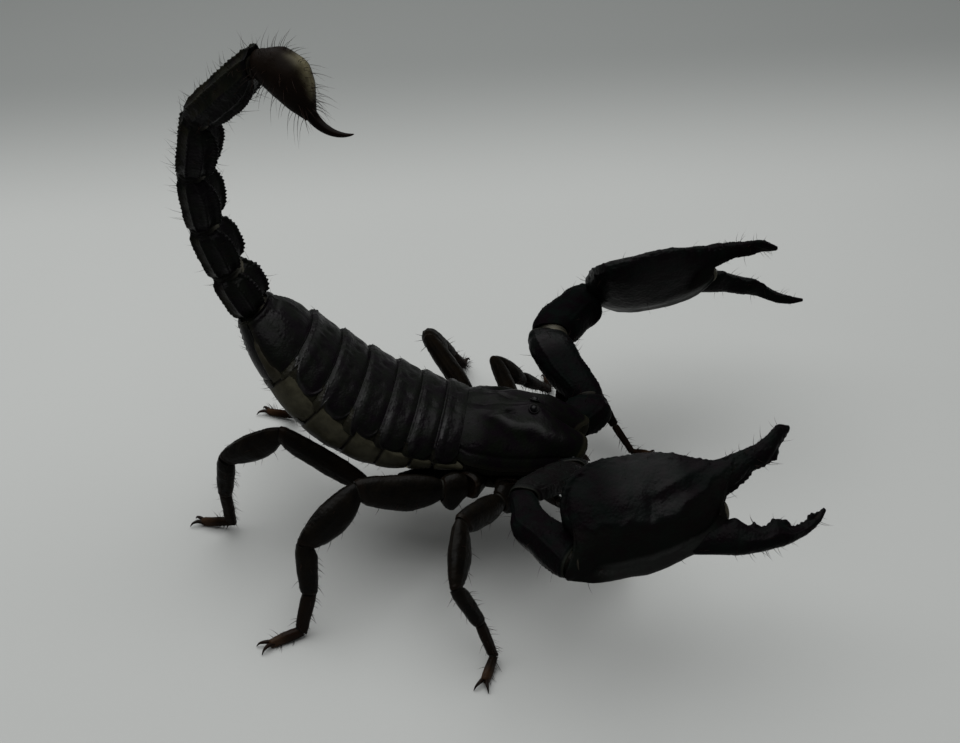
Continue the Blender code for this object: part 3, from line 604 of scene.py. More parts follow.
# %% Carapace
CARAPACE_LENGTH = 17.5
CARAPACE_FLOOR = (0.6, 0.137)
CARAPACE_ROWS = ((0.00, 0.10, 0.35, 0.60, 0.82, 1.00), (7.6, 8.5, 8.9, 8.3, 7.0, 5.6),
                 (2.6, 2.4, 2.5, 2.8, 3.2, 3.4), (6.6, 7.1, 7.6, 7.6, 6.7, 5.2))
SHOULDER = (0, 2.0, 4.2, 7.3, 9.9, 12.0, 15.0, 17.5), (1.6, 2.2, 2.9, 4.4, 4.2, 5.0, 4.7, 3.6)
EYE_X = EYE_PLACE[0]


def carapace_top(t, s):
    """Places of the shield's top: t from rear to front, s from right (-1) to left (1)."""
    half, edge, crest = (smooth(t, CARAPACE_ROWS[0], row) for row in CARAPACE_ROWS[1:])
    front = CARAPACE_LENGTH - 1.4 * s ** 4 - 1.5 * bump(s, 0, 0.24)
    x = GAP / 2 + t * (front - GAP / 2)
    z = edge + (crest - edge) * (1 - np.abs(s) ** 2.6) ** 0.62
    wide = s * 8.5
    mound, notch = bump(x, EYE_X, 2) * bump(wide, 0, 1.25), bump(x, 15, 2.6) * bump(wide, 0, 0.9)
    z = z + 0.75 * mound - 0.45 * notch
    return x, s * half, z


def carapace_height(t, s, x, y):
    """Relief on the dome: furrows and pits down, the shoulder, rims and grains up."""
    a = np.abs(y)
    point = np.stack((x, y, 0 * x), axis=-1)
    shoulder = smooth(x, *SHOULDER)
    groove = 1.5 + 0.45 * np.clip(6.3 - x, 0, 4)
    height = 0.22 * bump(a, shoulder - 0.3, 0.9) * span(x, 1.5, 4, 15, 17)
    height -= 0.45 * bump(a, shoulder + 1.9, 1.3) * span(x, 1, 4, 13.5, 16.5)
    height -= 0.14 * bump(y, 0, 0.22) * ramp(x, 1.0, 3.0) * (1 - 0.6 * bump(x, EYE_X, 1.2))
    height -= 0.5 * bump(x, 2.2, 1.7) * bump(a, 0, 1)
    height -= 0.34 * bump(x, 6.3, 0.7) * bump(a, 1.5, 0.32)
    height -= 0.22 * bump(a, groove, 0.35) * span(x, 2.5, 4, 6, 7)
    height -= 0.08 * bump(x, 12.2 + 0.25 * a, 0.6) * span(a, 1.6, 2.6, 4.5, 6)
    height += 0.16 * bump(s ** 2, 1, 0.05) + 0.12 * bump(t, 0, 0.03) + 0.10 * bump(t, 0.985, 0.02)
    height -= 0.14 * bump(np.abs(s), 0.93, 0.02)
    height += 0.075 * grains(point, 0.55, 3) * ramp(a - shoulder, -0.2, 1.6)
    height += 0.05 * grains(point, 0.42, 4) * ramp(x, 12, 15)
    height += 0.06 * mottle(point, 2.6, 5) + 0.025 * mottle(point, 0.8, 6)
    return height * (1 - 0.8 * bump(x, EYE_X, 0.8) * bump(a, 1.15, 0.75))


share = np.linspace(-1, 1, 150)
t, s = np.meshgrid(np.linspace(0, 1, 150), np.sin(np.pi / 2 * share), indexing="ij")
x, y, z = carapace_top(t, s)
top = raised(on_prosoma((x, y, z)), carapace_height(t, s, x, y), wraps=False)
under = on_prosoma((x * 0.985 + 0.1, y * 0.97, CARAPACE_FLOOR[0] + CARAPACE_FLOOR[1] * x + 0.05))
margin = 0.25 * ramp(np.abs(s), 0.985, 1.0) + 0.45 * ramp(t, 0.955, 0.975)
beyond = np.abs(y) - smooth(x, *SHOULDER)
# painted shade: the grainy flanks below the shoulder and the front are dulled
painted_shade = np.maximum(0.95 * ramp(beyond, 0.1, 0.6) * ramp(x, 1, 4), ramp(x, 10.5, 13.5))
# painted highlight: a band just inside the shoulder reflects more
painted_highlight = bump(beyond, -0.45, 0.85) * span(x, 3.5, 5.5, 12.5, 15.0)
shield = plate(top, under, 8, 0.22, tone=margin, dull=0.40 + 0.60 * painted_shade - 0.8 * painted_highlight)
make("carapace_plate", shield, black, ["carapace"])
print("carapace", TRIANGLES["carapace_plate"], "triangles")

# %% [markdown]
# ## Eyes
# A scorpion has two main eyes on the mound and three small ones at each front corner of the
# shield. Each main eye is a glassy lens in a dark ring, half sunk into the mound. Both are
# surfaces of revolution: a radius that falls to nothing at both poles.

# %% Eyes
EYE_ROLL = (0.3, 0.2, 1.0)


def revolved(centre, out, radius, lift, columns):
    """Ovals round a direction, from a radius and a lift for each row."""
    place = placed(centre, out, EYE_ROLL)
    c, s = circle(np.arange(columns) / columns)
    return tube(moved(place.origin, (radius * c, place.side), (radius * s, place.up),
                      (lift + 0 * c, place.axis)))


def lens(centre, out, radius, flat=0.8, rows=18, columns=28):
    """Closed ball, flattened along its outward direction."""
    a = np.linspace(0, np.pi, rows)[:, None]
    return revolved(centre, out, radius * np.sin(a), -radius * flat * np.cos(a), columns)


def eye_ring(centre, out, radius, thick, rows=14, columns=36):
    """Ring round an eye: a circle of small ovals, closed into a lumpy disc by two flat ends."""
    a = np.linspace(-np.pi, np.pi, rows)[:, None]
    ring = radius + thick * np.cos(a)
    ring[0] = ring[-1] = 0.0
    return revolved(centre, out, ring, thick * 0.9 * np.sin(a) - 0.05, columns)


for side, turn in TURN.items():
    centre, out = on_prosoma(mirrored(EYE_PLACE, side)), unit(tipped((0.1, 0.62 * turn, 1.0)))
    make("eye_lens_" + side, lens(centre - out * 0.16, out, EYE_RADIUS - 0.06, 0.95), eye_lens,
         ["median_eye_" + side])
    make("eye_ring_" + side, eye_ring(centre - out * 0.12, out, EYE_RADIUS + 0.03, 0.16), black)
small = []
for turn in (-1, 1):
    for t_eye, s_eye, radius in ((0.955, 0.93, 0.34), (0.90, 0.965, 0.32), (0.86, 0.985, 0.24)):
        x, y, z = carapace_top(np.array(t_eye), np.array(s_eye * turn))
        small.append(lens(on_prosoma((x, y, z + 0.02)), tipped((0.35, 0.8 * turn, 0.5)), radius,
                          0.8, 12, 20))
make("side_eyes", small, eye_lens)
print("two main eyes and", len(small), "side eyes")

# %% [markdown]
# ## Mouth claws
# Below the shield's front edge sit the chelicerae, a pair of small stout pincers that tear food.
# Each is a swollen base with a fixed finger above and a free one below and outside, both curved to
# a dark point with a few blunt teeth. They are ovals carried along bent lines.

# %% Chelicerae
def horn(middle, up, radii, rows=40, columns=36, teeth=None):
    """Tube along a curve of middles with a radius at each; teeth is a height by share and turn."""
    u, q = np.linspace(0, 1, rows), np.arange(columns) / columns
    keys = np.linspace(0, 1, len(middle))
    line = np.stack([smooth(u, keys, column) for column in np.asarray(middle, float).T], axis=-1)
    radius = smooth(u, np.linspace(0, 1, len(radii)), radii)
    axis = unit(np.gradient(line, axis=0))
    side = unit(np.cross(np.asarray(up, float), axis))
    reach = radius[:, None] + (teeth(u[:, None], q[None, :]) if teeth else 0.0)
    c, s = circle(q)
    grid = moved(line[:, None], (reach * c, side[:, None]),
                 (reach * s, np.cross(axis, side)[:, None]))
    return capped(grid, line[0] - axis[0] * radius[0] * 0.4, line[-1] + axis[-1] * radius[-1] * 0.6)


def capped(grid, *tips):
    """The grid with a row before it and a row after it, each on one point."""
    first, last = (np.broadcast_to(tip, (1, *grid.shape[1:])) for tip in tips)
    return np.concatenate((first, grid, last))


def tooth_row(angle, count, height):
    """Blunt teeth on one side of a horn, a squared cosine along it and a narrow bell round it."""
    return lambda u, q: (height * np.cos(np.pi * count * u) ** 2 * span(u, 0.2, 0.3, 0.85, 0.95)
                         * around(q, angle, 0.06))


def claw_base(t, q):
    """Section of the swollen base."""
    c, s = squircle(q, 2.6)
    size = smooth(t, (0, 0.2, 0.6, 0.85, 1), (0.8, 1.0, 1.0, 0.85, 0.6))
    return 1.5 * size * c, 1.25 * size * s


FIXED = ((3.6, -0.45, 0.35), (4.6, -0.5, 0.5), (5.6, -0.4, 0.35), (6.5, -0.1, -0.1))
FREE = ((3.5, 0.6, -0.2), (4.6, 0.95, -0.3), (5.7, 0.8, -0.4), (6.55, 0.25, -0.3))
for side, turn in TURN.items():
    base = placed(on_prosoma(mirrored((12.2, 1.75, 0.55), side)), heading(0, BODY_PITCH - 12))
    plane = base.origin, base.axis
    grid, t, q, mask = limb(base, 4.3, claw_base, plane, (base.origin + base.axis * 4.3, base.axis),
                            40, 48, (0.2, 0.2))
    grains_here = 0.03 * grains(grid, 0.45, 12) * ramp(t, 0.5, 0.9)
    grid = raised(grid, mask * (0.05 * mottle(grid, 0.9, 11) + grains_here))
    parts = [tube(grid, tone=0.35 * ramp(t, 0.2, 0.9))]
    for places, radii, teeth in ((FIXED, (0.75, 0.6, 0.42, 0.12), tooth_row(0.75, 5, 0.14)),
                                 (FREE, (0.7, 0.5, 0.36, 0.1), tooth_row(0.45, 6, 0.12))):
        line = [moved(base.origin, (along, base.axis), (wide * turn, base.side), (high, base.up))
                for along, wide, high in places]
        parts.append(tube(horn(line, base.up, radii, teeth=teeth)))
    make("mouth_claw_" + side, parts, foot_brown, ["chelicera_" + side])
    bed("body", grid, ramp(t, 0.6, 0.8) * around(q, 0.75, 0.2), 40, (0.5, 1.1), 0.03, 21 + turn)
print("two mouth claws")

# %% [markdown]
# ## The abdomen
# Behind the shield come seven rings on a path that curls upwards. Its direction turns evenly, so
# it is a circular arc and its middle has a closed formula. Round it lies one soft skin, pale on
# the flanks where it shows and folded in at every joint, with painted shade in those folds and
# along the flank's lower edge. On it sit a back plate for each ring, whose rear rim stands over
# the next plate, and belly plates from the third ring on.

# %% Abdomen path and skin
ABDOMEN_LENGTHS = (3.4, 4.0, 4.2, 4.8, 5.1, 5.6, 7.7)
EDGES = np.concatenate(([0.0], np.cumsum(ABDOMEN_LENGTHS)))
TOTAL = EDGES[-1]
AT = np.concatenate((EDGES[:-1], [30.95, TOTAL]))
HALF_WIDTH = (8.3, 8.9, 9.4, 9.6, 9.5, 9.1, 7.8, 6.22, 3.3)
ABOVE = (5.3, 5.1, 4.9, 4.8, 4.7, 4.6, 4.3, 3.75, 2.4)
BELOW = (0.9, 2.6, 5.0, 6.8, 7.1, 6.2, 4.7, 3.75, 2.3)
ARC = np.radians((167.0, 123.0))
PANEL_EDGES = (-1.5, 3.0, 6.1, 10.2, 14.8, 20.6, 26.8, 33.0)
TERGITE_EDGE = ((0.0, 10.0, 14.6, 20.0, 26.0, 27.4, 30.0),
                (0.010, 0.008, 0.011, 0.017, 0.030, 0.008, -0.004))
FLANK_LOW = (0, 7, 12, 20, 26.6, 27.1, 30, 32), (-1.8, -3.0, -4.2, -4.5, -2.9, -1.4, -0.7, -0.5)
PLATE = 0.3


def abdomen_path(s):
    """Middle, axis and up along the arc: the integrals of cosine and sine of an even turn."""
    rate = (ARC[1] - ARC[0]) / TOTAL
    angle = ARC[0] + rate * s
    start = on_prosoma((0.0, 0.0, 1.4))
    x = start[0] + (np.sin(angle) - math.sin(ARC[0])) / rate
    z = start[2] - (np.cos(angle) - math.cos(ARC[0])) / rate
    c, v, o = np.cos(angle), np.sin(angle), 0 * angle
    return np.stack((x, o, z), -1), np.stack((c, o, v), -1), np.stack((v, o, -c), -1)


def abdomen_skin(s, turn, lift=0.0):
    """Places on the abdomen: turn runs from the right flank (0) over the back (0.25)."""
    middle, axis, up = abdomen_path(s)
    wide, above, below = (smooth(s, AT, row) for row in (HALF_WIDTH, ABOVE, BELOW))
    c, v = squircle(turn)
    tall = np.where(v > 0, above, below)
    away = unit(np.stack((c / wide, v / tall), axis=-1))
    across, height = wide * c + away[..., 0] * lift, tall * v + away[..., 1] * lift
    return moved(middle, (across, np.array((0.0, -1.0, 0.0))), (height, up)), across, height


def panel_share(s):
    """Share of the flank panel at s, one saw tooth per ring."""
    return np.interp(s, PANEL_EDGES, np.arange(len(PANEL_EDGES))) % 1.0


def margin_turn(s):
    """Turn at which the back plates end: a smooth rise rearwards plus the panels' saw teeth."""
    return smooth(s, *TERGITE_EDGE) + 0.028 * (panel_share(s) - 0.5) * span(s, 8, 16, 26.8, 28)


s, turn = np.meshgrid(np.linspace(-1.2, TOTAL - 0.3, 230), np.arange(120) / 120, indexing="ij")
_, across, height = abdomen_skin(s, turn)
share = panel_share(s)
joint = np.min([np.abs(s - edge) for edge in PANEL_EDGES], axis=0)
low = np.interp(s, *FLANK_LOW)
margin = margin_turn(s) * 33    # height in millimetres of that turn, nearly even there
flank = ramp(height, low - 0.6, low) * ramp(height, margin + 0.5, margin + 0.1)
lift = flank * (0.44 + 0.16 * np.sin(np.pi * share) + 0.16 * share - 0.34 * bump(joint, 0, 0.14))
lift = (lift - 0.42) * ramp(s, 34, 31.5) - 0.5 * ramp(s, 31.5, 34)
wrinkle = mottle(np.stack((s, 0.35 * height, across), -1), 0.6, 31)
grid = abdomen_skin(s, turn, lift)[0]
grid = closed(grid, 0.035 * wrinkle + 0.05 * mottle(closed(grid, 0 * s), 1.7, 32))
# painted shade: darker colour in the joint creases and along the flank's lower edge; the seventh
# ring's skin is darker too
painted_crease_shade = bump(joint, 0, 0.2) + 0.8 * bump(height, low - 0.5, 0.35) + 0.6 * ramp(s, 26.9, 27.3)
make("abdomen_skin", tube(grid, tone=np.clip(painted_crease_shade, 0, 1)), flank_skin)
print("abdomen skin", TRIANGLES["abdomen_skin"], "triangles")

# %% [markdown]
# ### Back plates
# Each tergite has a sunk front band that slides under the plate before it, a domed middle and a
# raised grainy rim. Its side ends in a U-shaped bead, with thinner brown cuticle outside it. The
# last one narrows to the tail and carries two pairs of grainy keels. The plate is the abdomen's
# own surface, lifted by a height over length and width, with an inner copy 0.3 mm lower.

# %% Tergites
def tergite(k):
    """Back plate of ring k, counted from 0."""
    first, last = EDGES[k], EDGES[k + 1]
    begin, finish = first + (-0.45 if k else 0.1), last + (0.38 if k < 6 else -0.12)
    s, share = np.meshgrid(np.linspace(begin, finish, 58), np.linspace(0, 1, 150), indexing="ij")
    edge_turn = margin_turn(s)
    turn = edge_turn + share * (0.5 - 2 * edge_turn)
    _, across, height = abdomen_skin(s, turn)
    a = (s - first) / (last - first)
    inside = np.clip(a, 0, 1)
    rise = height - height[:, :1]
    wide = np.abs(across)
    point = np.stack((s, across, height), axis=-1)
    lift = 0.06 * ramp(height, 0, 3) * (2 * a - 1) + 0.14 * np.sin(np.pi * inside)
    lift -= (0.18 if k else 0.05) * ramp(a, 0.30, 0.02)
    if k < 6:
        lift += 0.26 * ramp(a, 0.55, 0.92) - 0.34 * ramp(a, 0.95, 1.08)
        lift += 0.09 * grains(point, 0.6, 50 + k) * ramp(a, 0.9, 0.96)
        lift += 0.10 * bump(across, 0, 0.35) * ramp(a, 0.3, 0.9)
        lift -= 0.14 * bump(wide, 2.4, 0.55) * bump(a, 0.5, 0.14)
        lift -= 0.10 * bump(wide, 5.2, 0.8) * bump(a, 0.42, 0.12)
        bow = 0.35 + (2.4 if k > 2 else 1.6) * np.abs(2 * inside - 1) ** 3
        lift += (0.07, 0.07, 0.07, 0.14, 0.14, 0.20)[k] * bump(rise, bow, 0.24)
        lift -= 0.10 * ramp(rise, bow - 0.15, bow - 0.5)
        back = 0.045 * grains(point, 0.5, 40 + k) * ramp(a, 0.35, 0.8)
        tone = (0.7 if k > 2 else 0.3) * ramp(rise, bow - 0.1, bow - 0.45)
        # painted highlight: a glint on the U-bead of the fifth and sixth plates
        painted_highlight = (0, 0, 0, 0, 2.0, 3.5)[k] * bump(rise, bow, 0.2) * ramp(a, 0.2, 0.5)
    else:
        comb = 0.6 + 0.4 * np.cos(math.tau * s / 0.62)
        for place in (0.30, 0.68):
            keel = bump(wide / smooth(s, AT, HALF_WIDTH), place + 0.04 * a, 0.045)
            lift += 0.10 * keel * comb * span(a, 0.3, 0.55, 0.93, 1.0)
        lift += 0.22 * ramp(a, 0.88, 0.95) - 0.25 * bump(a, 0.80, 0.05) * bump(across, 0, 1.6)
        back = 0.03 * grains(point, 0.6, 47) * ramp(a, 0.15, 0.5)
        tone, painted_highlight = 0.3 * ramp(rise, 0.7, 0.15), 0.0
    lift += back + 0.07 * mottle(point, 2.1, 60 + k) + 0.03 * mottle(point, 0.7, 70 + k)
    outer = abdomen_skin(s, turn, lift + 0.04)[0]
    inner = abdomen_skin(s, turn, np.minimum(lift, 0.1) - PLATE)[0]
    bed("body", outer, span(a, 0.93, 0.97, 1.0, 1.04), 10, (0.4, 0.9), 0.03, 80 + k, skip=0)
    # painted highlights: glint streaks just in front of each rear rim
    painted_glint_streak = bump(a, 0.86, 0.10) * span(rise, 0.6, 1.6, 3.2, 4.6)
    painted_glint_streak = painted_glint_streak * (0.7 + 0.5 * mottle(point, 0.9, 66))
    painted_highlight = painted_highlight + (4.0 if k < 6 else 0.6) * np.clip(painted_glint_streak, 0, 1)
    return plate(outer, inner, 4, 0.12, tone=tone, dull=0.1 - painted_highlight)


for k in range(7):
    make(f"back_plate_{k + 1}", tergite(k), black, [f"mesosoma_{k + 1}"])
print("seven back plates,", TRIANGLES["back_plate_4"], "triangles each")

# %% [markdown]
# ### Belly plates
# Five sternites close the belly. They are smooth, wider than long, and each of the first four has
# a pair of slanting slits, the spiracles that lead to the book lungs. The last one has four weak
# keels. In front of them two small plates carry the combs and close the genital opening.

# %% Sternites
def sternite(k, reach):
    """Belly plate of ring k, made as the back plates are, but from the flank downwards."""
    first, last = EDGES[k], EDGES[k + 1]
    s, turn = np.meshgrid(np.linspace(first - 0.35, last + (0.25 if k < 6 else -0.1), 44),
                          np.linspace(reach, 1.5 - reach, 120), indexing="ij")
    _, across, height = abdomen_skin(s, turn)
    a, wide = (s - first) / (last - first), np.abs(across)
    lift = 0.05 + 0.10 * ramp(a, 0.8, 0.95) - 0.25 * ramp(a, 0.14, 0.02)
    if k < 6:
        u, v = wide - 0.56 * HALF_WIDTH[k], (a - 0.55) * 5.0
        out, back = u + 0.5 * v, v - 0.5 * u
        lift -= 0.35 * np.exp(-out ** 4) * bump(back, 0, 0.16)
        lift += 0.10 * bump(out, 0, 1.4) * bump(back, 0, 0.5)
        lift -= 0.10 * bump(wide, 1.9 + 0.5 * a, 0.35)
    else:
        comb = 0.6 + 0.4 * np.cos(math.tau * s / 0.7)
        for place in (0.22, 0.55):
            keel = bump(wide / smooth(s, AT, HALF_WIDTH), place, 0.04)
            lift += 0.16 * keel * comb * ramp(a, 0.3, 0.6)
    lift += 0.03 * mottle(np.stack((s, across, height), axis=-1), 1.6, 90 + k)
    outer = abdomen_skin(s, turn, lift)[0]
    inner = abdomen_skin(s, turn, np.minimum(lift, 0.05) - PLATE)[0]
    bed("body", outer, ramp(a, 0.3, 0.5), 26, (0.5, 1.1), 0.03, 95 + k, skip=0)
    return plate(outer, inner, 4, 0.10, tone=0.5 * ramp(a, 0.9, 1.0))


for k, reach in zip(range(2, 7), (0.575, 0.578, 0.575, 0.558, 0.52)):
    make(f"belly_plate_{k + 1}", sternite(k, reach), black)
print("five belly plates")

# %% [markdown]
# ## The tail
# Five rings, each a little longer than the one before, carry the sting. Their section is a
# polygon with ten corners: a furrow along the back between two saw-edged keels, keels at the
# sides, and a ridge below. Each ring takes it by shares of its half sizes, and the keels are
# bells round the section times rows of teeth along it. The faces below are a paler olive.

# %% Tail rings
TAIL_LENGTHS = (7.0, 8.0, 8.8, 9.4, 13.3)
TAIL_PITCH = (113.5, 105.0, 91.0, 75.5, 44.0)
TAIL_HALF_WIDTH = (3.6, 3.35, 3.15, 2.9, 2.6)
TAIL_ABOVE = (3.0, 3.0, 3.05, 3.1, 2.6)
TAIL_BELOW = (2.5, 2.25, 2.05, 1.95, 2.25)
TAIL_BRISTLES = (14, 18, 24, 50, 80)
VESICLE_LENGTH, VESICLE_PITCH = 9.0, -35.0
STING_LENGTH, STING_ANGLES = 6.5, (-56.0, 24.0)
HALF_SECTION = ((0.0, 0.72), (0.52, 1.0), (0.93, 0.55), (1.0, -0.1), (0.72, -0.78), (0.0, -1.0))
SECTION = np.array(HALF_SECTION + tuple((-x, z) for x, z in HALF_SECTION[-2::-1])).T
TAIL_ROWS = ((0.0, 0.10, 0.32, 0.62, 0.84, 0.93, 1.0), (0.70, 0.86, 1.0, 1.0, 0.96, 0.88, 0.76),
             (0.5, 0.8, 1.0, 1.04, 0.90, 0.72, 0.42), (0.84, 0.95, 1.0, 1.0, 0.98, 0.95, 0.88))
# corner of the section, height of its keel, spacing of the teeth and width in turns
TAIL_KEELS = ((1, 0.44, 0.62, 0.015), (2, 0.16, 0.55, 0.011), (3, 0.14, 0.6, 0.010),
              (4, 0.16, 0.7, 0.010), (5, 0.10, 0.7, 0.009))


def tail_places():
    """Frames of the five rings, the vesicle and the sting, each turned three degrees more."""
    here, places = abdomen_path(np.array(TOTAL))[0], []
    lengths = TAIL_LENGTHS + (VESICLE_LENGTH, STING_LENGTH)
    pitches = TAIL_PITCH + (VESICLE_PITCH, STING_ANGLES[0])
    for number, (length, pitch) in enumerate(zip(lengths, pitches)):
        (c, s), (cs, ss) = turned(pitch), turned(-7.0 - 3.0 * number)
        places.append(placed(here, (c * cs, ss, s * cs), (s, 0.0, -c)))
        here = here + places[-1].axis * length
    return places


def teeth(along, pitch, seed, sharp=1.4):
    """Row of teeth from 0 to 1: raised cosines whose heights differ from tooth to tooth."""
    tall = np.random.default_rng(seed).uniform(0.2, 1.0, 97)
    tall = tall[np.floor(along / pitch).astype(int) % 97]
    return tall * (0.5 - 0.5 * np.cos(math.tau * along / pitch)) ** sharp


TAIL = tail_places()
abdomen_end = placed(*abdomen_path(np.array(TOTAL)))
tail_planes = joint_planes(TAIL, TAIL[-1].origin)
tail_planes[0] = (TAIL[0].origin, unit(abdomen_end.axis + TAIL[0].axis))


def tail_ring(k):
    """Ring k of the tail: a ten-cornered tube with toothed keels."""
    sizes = TAIL_HALF_WIDTH[k], TAIL_ABOVE[k], TAIL_BELOW[k]

    def outline(t, q):
        """Straight lines between the corners, hollowed, times the half sizes."""
        wide, above, below = (smooth(t, TAIL_ROWS[0], row) * size
                              for row, size in zip(TAIL_ROWS[1:], sizes))
        x, z = (np.interp(q * 10, np.arange(11), row) for row in SECTION)
        hollow = 1 - 0.05 * np.sin(np.pi * ((q * 10) % 1.0)) * (q * 10 > 1) * (q * 10 < 9)
        return x * hollow * wide, z * hollow * np.where(z > 0, above, below)

    grid, t, q, mask = limb(TAIL[k], TAIL_LENGTHS[k], outline, *ends(tail_planes, k),
                            110, 140, (0.6, 0.9))
    body = mask * span(t, 0.06, 0.14, 0.95, 0.99)
    height = 0.05 * grains(grid, 0.5, 110 + k) + 0.045 * mottle(grid, 0.8, 120 + k)
    for corner, tall, pitch, width in TAIL_KEELS:
        if k > 2 and corner > 3:
            tall = 0.30
        if k == 4 and corner == 1:
            tall = 0.22
        for number, at in enumerate({corner / 10, 1 - corner / 10}):
            saw = teeth(t * TAIL_LENGTHS[k], pitch, 130 + k * 10 + corner + number)
            height += tall * around(q, at, width) * (0.45 + 0.55 * saw)
    height += 0.12 * (around(q, 0.15, 0.02) + around(q, 0.85, 0.02)) * bump(t, 0.9, 0.05)
    face = np.minimum(ramp(q, 0.305, 0.315), ramp(q, 0.695, 0.685))
    pale = face * (0.32 + 0.4 * mottle(grid, 1.2, 140 + k)) * span(t, 0.04, 0.1, 0.93, 0.98)
    grid = raised(grid, height * body)
    weight = body * (0.25 + around(q, 0.1, 0.03) + around(q, 0.9, 0.03) + 1.4 * around(q, 0.4, 0.04)
                     + 1.4 * around(q, 0.6, 0.04) + around(q, 0.5, 0.05))
    bed("tail", grid, weight, TAIL_BRISTLES[k], (0.9, 2.8), 0.034, 150 + k, 0.2)
    return tube(grid, tone=np.clip(pale, 0, 1), dull=(0.15 if k < 3 else 0.3) + 0.3 * face)


for k in range(5):
    make(f"tail_ring_{k + 1}", tail_ring(k), black, [f"metasoma_{k + 1}"])
folds = [knuckle(abdomen_end, TAIL[0], 2.3, 1.5, 1.3, dark=1.0, glint_window=1.0)]
folds += [knuckle(TAIL[k], TAIL[k + 1], TAIL_HALF_WIDTH[k] * 0.66, TAIL_BELOW[k] * 0.80, 1.2,
                  dark=1.0, glint_window=1.0) for k in range(4)]
make("tail_joint_skin", folds + [knuckle(TAIL[4], TAIL[5], 1.35, 1.25, 1.0, dark=0.7)], joint_skin)
print("tail ring", TRIANGLES["tail_ring_1"], "triangles")

# %% [markdown]
# ### Vesicle and sting
# The last piece holds the venom glands. It is a smooth bulb, hung below its own axis, brown with
# paler flanks that carry a painted highlight, and runs out into the sting, a hook that bends the
# other way. The bulb is an oval carried along with a falling middle, and the sting a cone whose
# direction turns evenly.

# %% Telson
VESICLE_SHAPE = ((0.00, 0.10, 0.30, 0.52, 0.72, 0.89, 1.00),
                 (0.50, 0.70, 0.96, 1.00, 0.82, 0.54, 0.32),
                 (1.4, 1.75, 2.6, 2.8, 2.35, 1.5, 0.85),
                 (-0.1, -0.6, -1.45, -1.65, -1.2, -0.5, 0.0))


def vesicle_outline(t, q):
    """Oval of the bulb, whose middle falls below the axis."""
    wide, half, lift = (smooth(t, VESICLE_SHAPE[0], row) for row in VESICLE_SHAPE[1:])
    c, s = squircle(q, 2.1)
    return 2.75 * wide * c, half * s + lift


start = (tail_planes[5][0] + tail_planes[5][1] * GAP / 2, tail_planes[5][1])
grid, t, q, mask = limb(TAIL[5], VESICLE_LENGTH, vesicle_outline, start,
                        (TAIL[6].origin, TAIL[5].axis), 90, 96, (0.5, -0.2))
height = 0.05 * mottle(grid, 1.4, 160) + 0.05 * grains(grid, 0.8, 161, 0.3) * ramp(t, 0.9, 0.7)
seam = 0.16 * around(q, 0.75, 0.018) * span(t, 0.05, 0.15, 0.8, 0.9)
grid = raised(grid, (height - seam) * mask)
flanks = (around(q, 0.785, 0.048) + around(q, 0.715, 0.048)) * span(t, 0.30, 0.60, 0.80, 0.95)
pale = np.clip(flanks * (0.85 + 0.5 * mottle(grid, 0.9, 162)), 0, 1)
# painted highlight: the pale flanks reflect more, dull falling to -1.5 there
make("vesicle_shell", tube(grid, tone=pale, dull=0.7 - 2.2 * pale), bulb_brown, ["telson_vesicle"])
weight = 0.35 + around(q, 0.75, 0.12) + 0.7 * around(q, 0.5, 0.08) + 0.7 * around(q, 0, 0.08)
bed("tail", grid, mask * weight, 130, (1.0, 3.4), 0.034, 163, 0.2)

u = np.linspace(0, 1, 70)
angle = np.radians(STING_ANGLES[0] + (STING_ANGLES[1] - STING_ANGLES[0]) * u)
axis = unit(np.stack((np.cos(angle), np.full_like(u, TAIL[5].axis[1]), np.sin(angle)), axis=-1))
line = TAIL[6].origin + np.cumsum(axis, axis=0) * STING_LENGTH / len(u) - axis[0] * 0.25
radius = (0.78 * (1 - u) ** 0.8 + 0.07 * np.sqrt(u))[:, None]
c, s = circle(np.arange(40) / 40)
grid = moved(line[:, None], (radius * c, TAIL[5].side),
             (radius * s, unit(np.cross(axis, TAIL[5].side))[:, None]))
grid = capped(grid, line[0] - axis[0] * 0.5, line[-1] + axis[-1] * 0.12)
make("sting", tube(grid, dull=0.6), sting_brown, ["telson_aculeus"])
print("vesicle", TRIANGLES["vesicle_shell"], "and sting", TRIANGLES["sting"], "triangles")

# %% [markdown]
# ## The arms
# The pedipalps are arms of three pieces and a claw. Their pieces are blunt four-sided tubes with a
# grainy keel along each corner. No two are quite alike, so each may bend its outline where it
# swells or is hollow. The claw's hand is drawn flat, as rows of a lower and an upper point with
# half a thickness, and an oval joins each pair. The fixed finger grows out of its upper edge.

# %% Arms
PALP_SOCKET = (15.8, 6.2, 1.2)
PALP_NAMES = ("trochanter", "femur", "patella")
PALP_LENGTHS = (5.2, 13.0, 14.4)
PALP_HALF_WIDTH = (2.7, 2.95, 3.3)
PALP_HALF_DEPTH = (2.5, 2.5, 3.1)
PALP_ROWS = (50, 100, 100)
PALP_BRISTLES = (6, 20, 22)
PALP_SHAPES = (((0.0, 0.3, 0.7, 1.0), (0.8, 1.0, 1.0, 0.78)),
               ((0.0, 0.14, 0.5, 0.82, 1.0), (0.68, 0.86, 1.0, 1.03, 0.80)),
               ((0.0, 0.12, 0.35, 0.66, 0.86, 1.0), (0.75, 0.95, 1.02, 0.97, 0.74, 0.52)))
SLIMMER = ((1.0, 1.0, 1.0, 1.0), (1.0, 0.95, 0.84, 0.72), (0.56, 0.48, 0.88, 1.0))
# painted shade: how much each piece's reflection is dulled, most on the far (left) arm
ARM_PAINTED_SHADE = {"right": (0.3, 0.55, 0.9), "left": (0.95, 0.9, 1.0)}
PALP_POSE = {"right": ((-84, 42), (-118, 18), (-62, 0), (18, 1), 37, 0),
             "left": ((68, 15), (121, 20), (69, -1), (-6, 8), 35, 21)}
# half width, half height and reach of the elbow's skin, how dark it is, and its pale window
# with a painted glint
ELBOW = {"right": ((1.3, 1.1, 1.0), 0.85, 0.0), "left": ((2.15, 1.95, 1.5), 0.6, 1.0)}
ELBOW_GAP = 0.2    # how far the left elbow's two pieces stand back from that skin


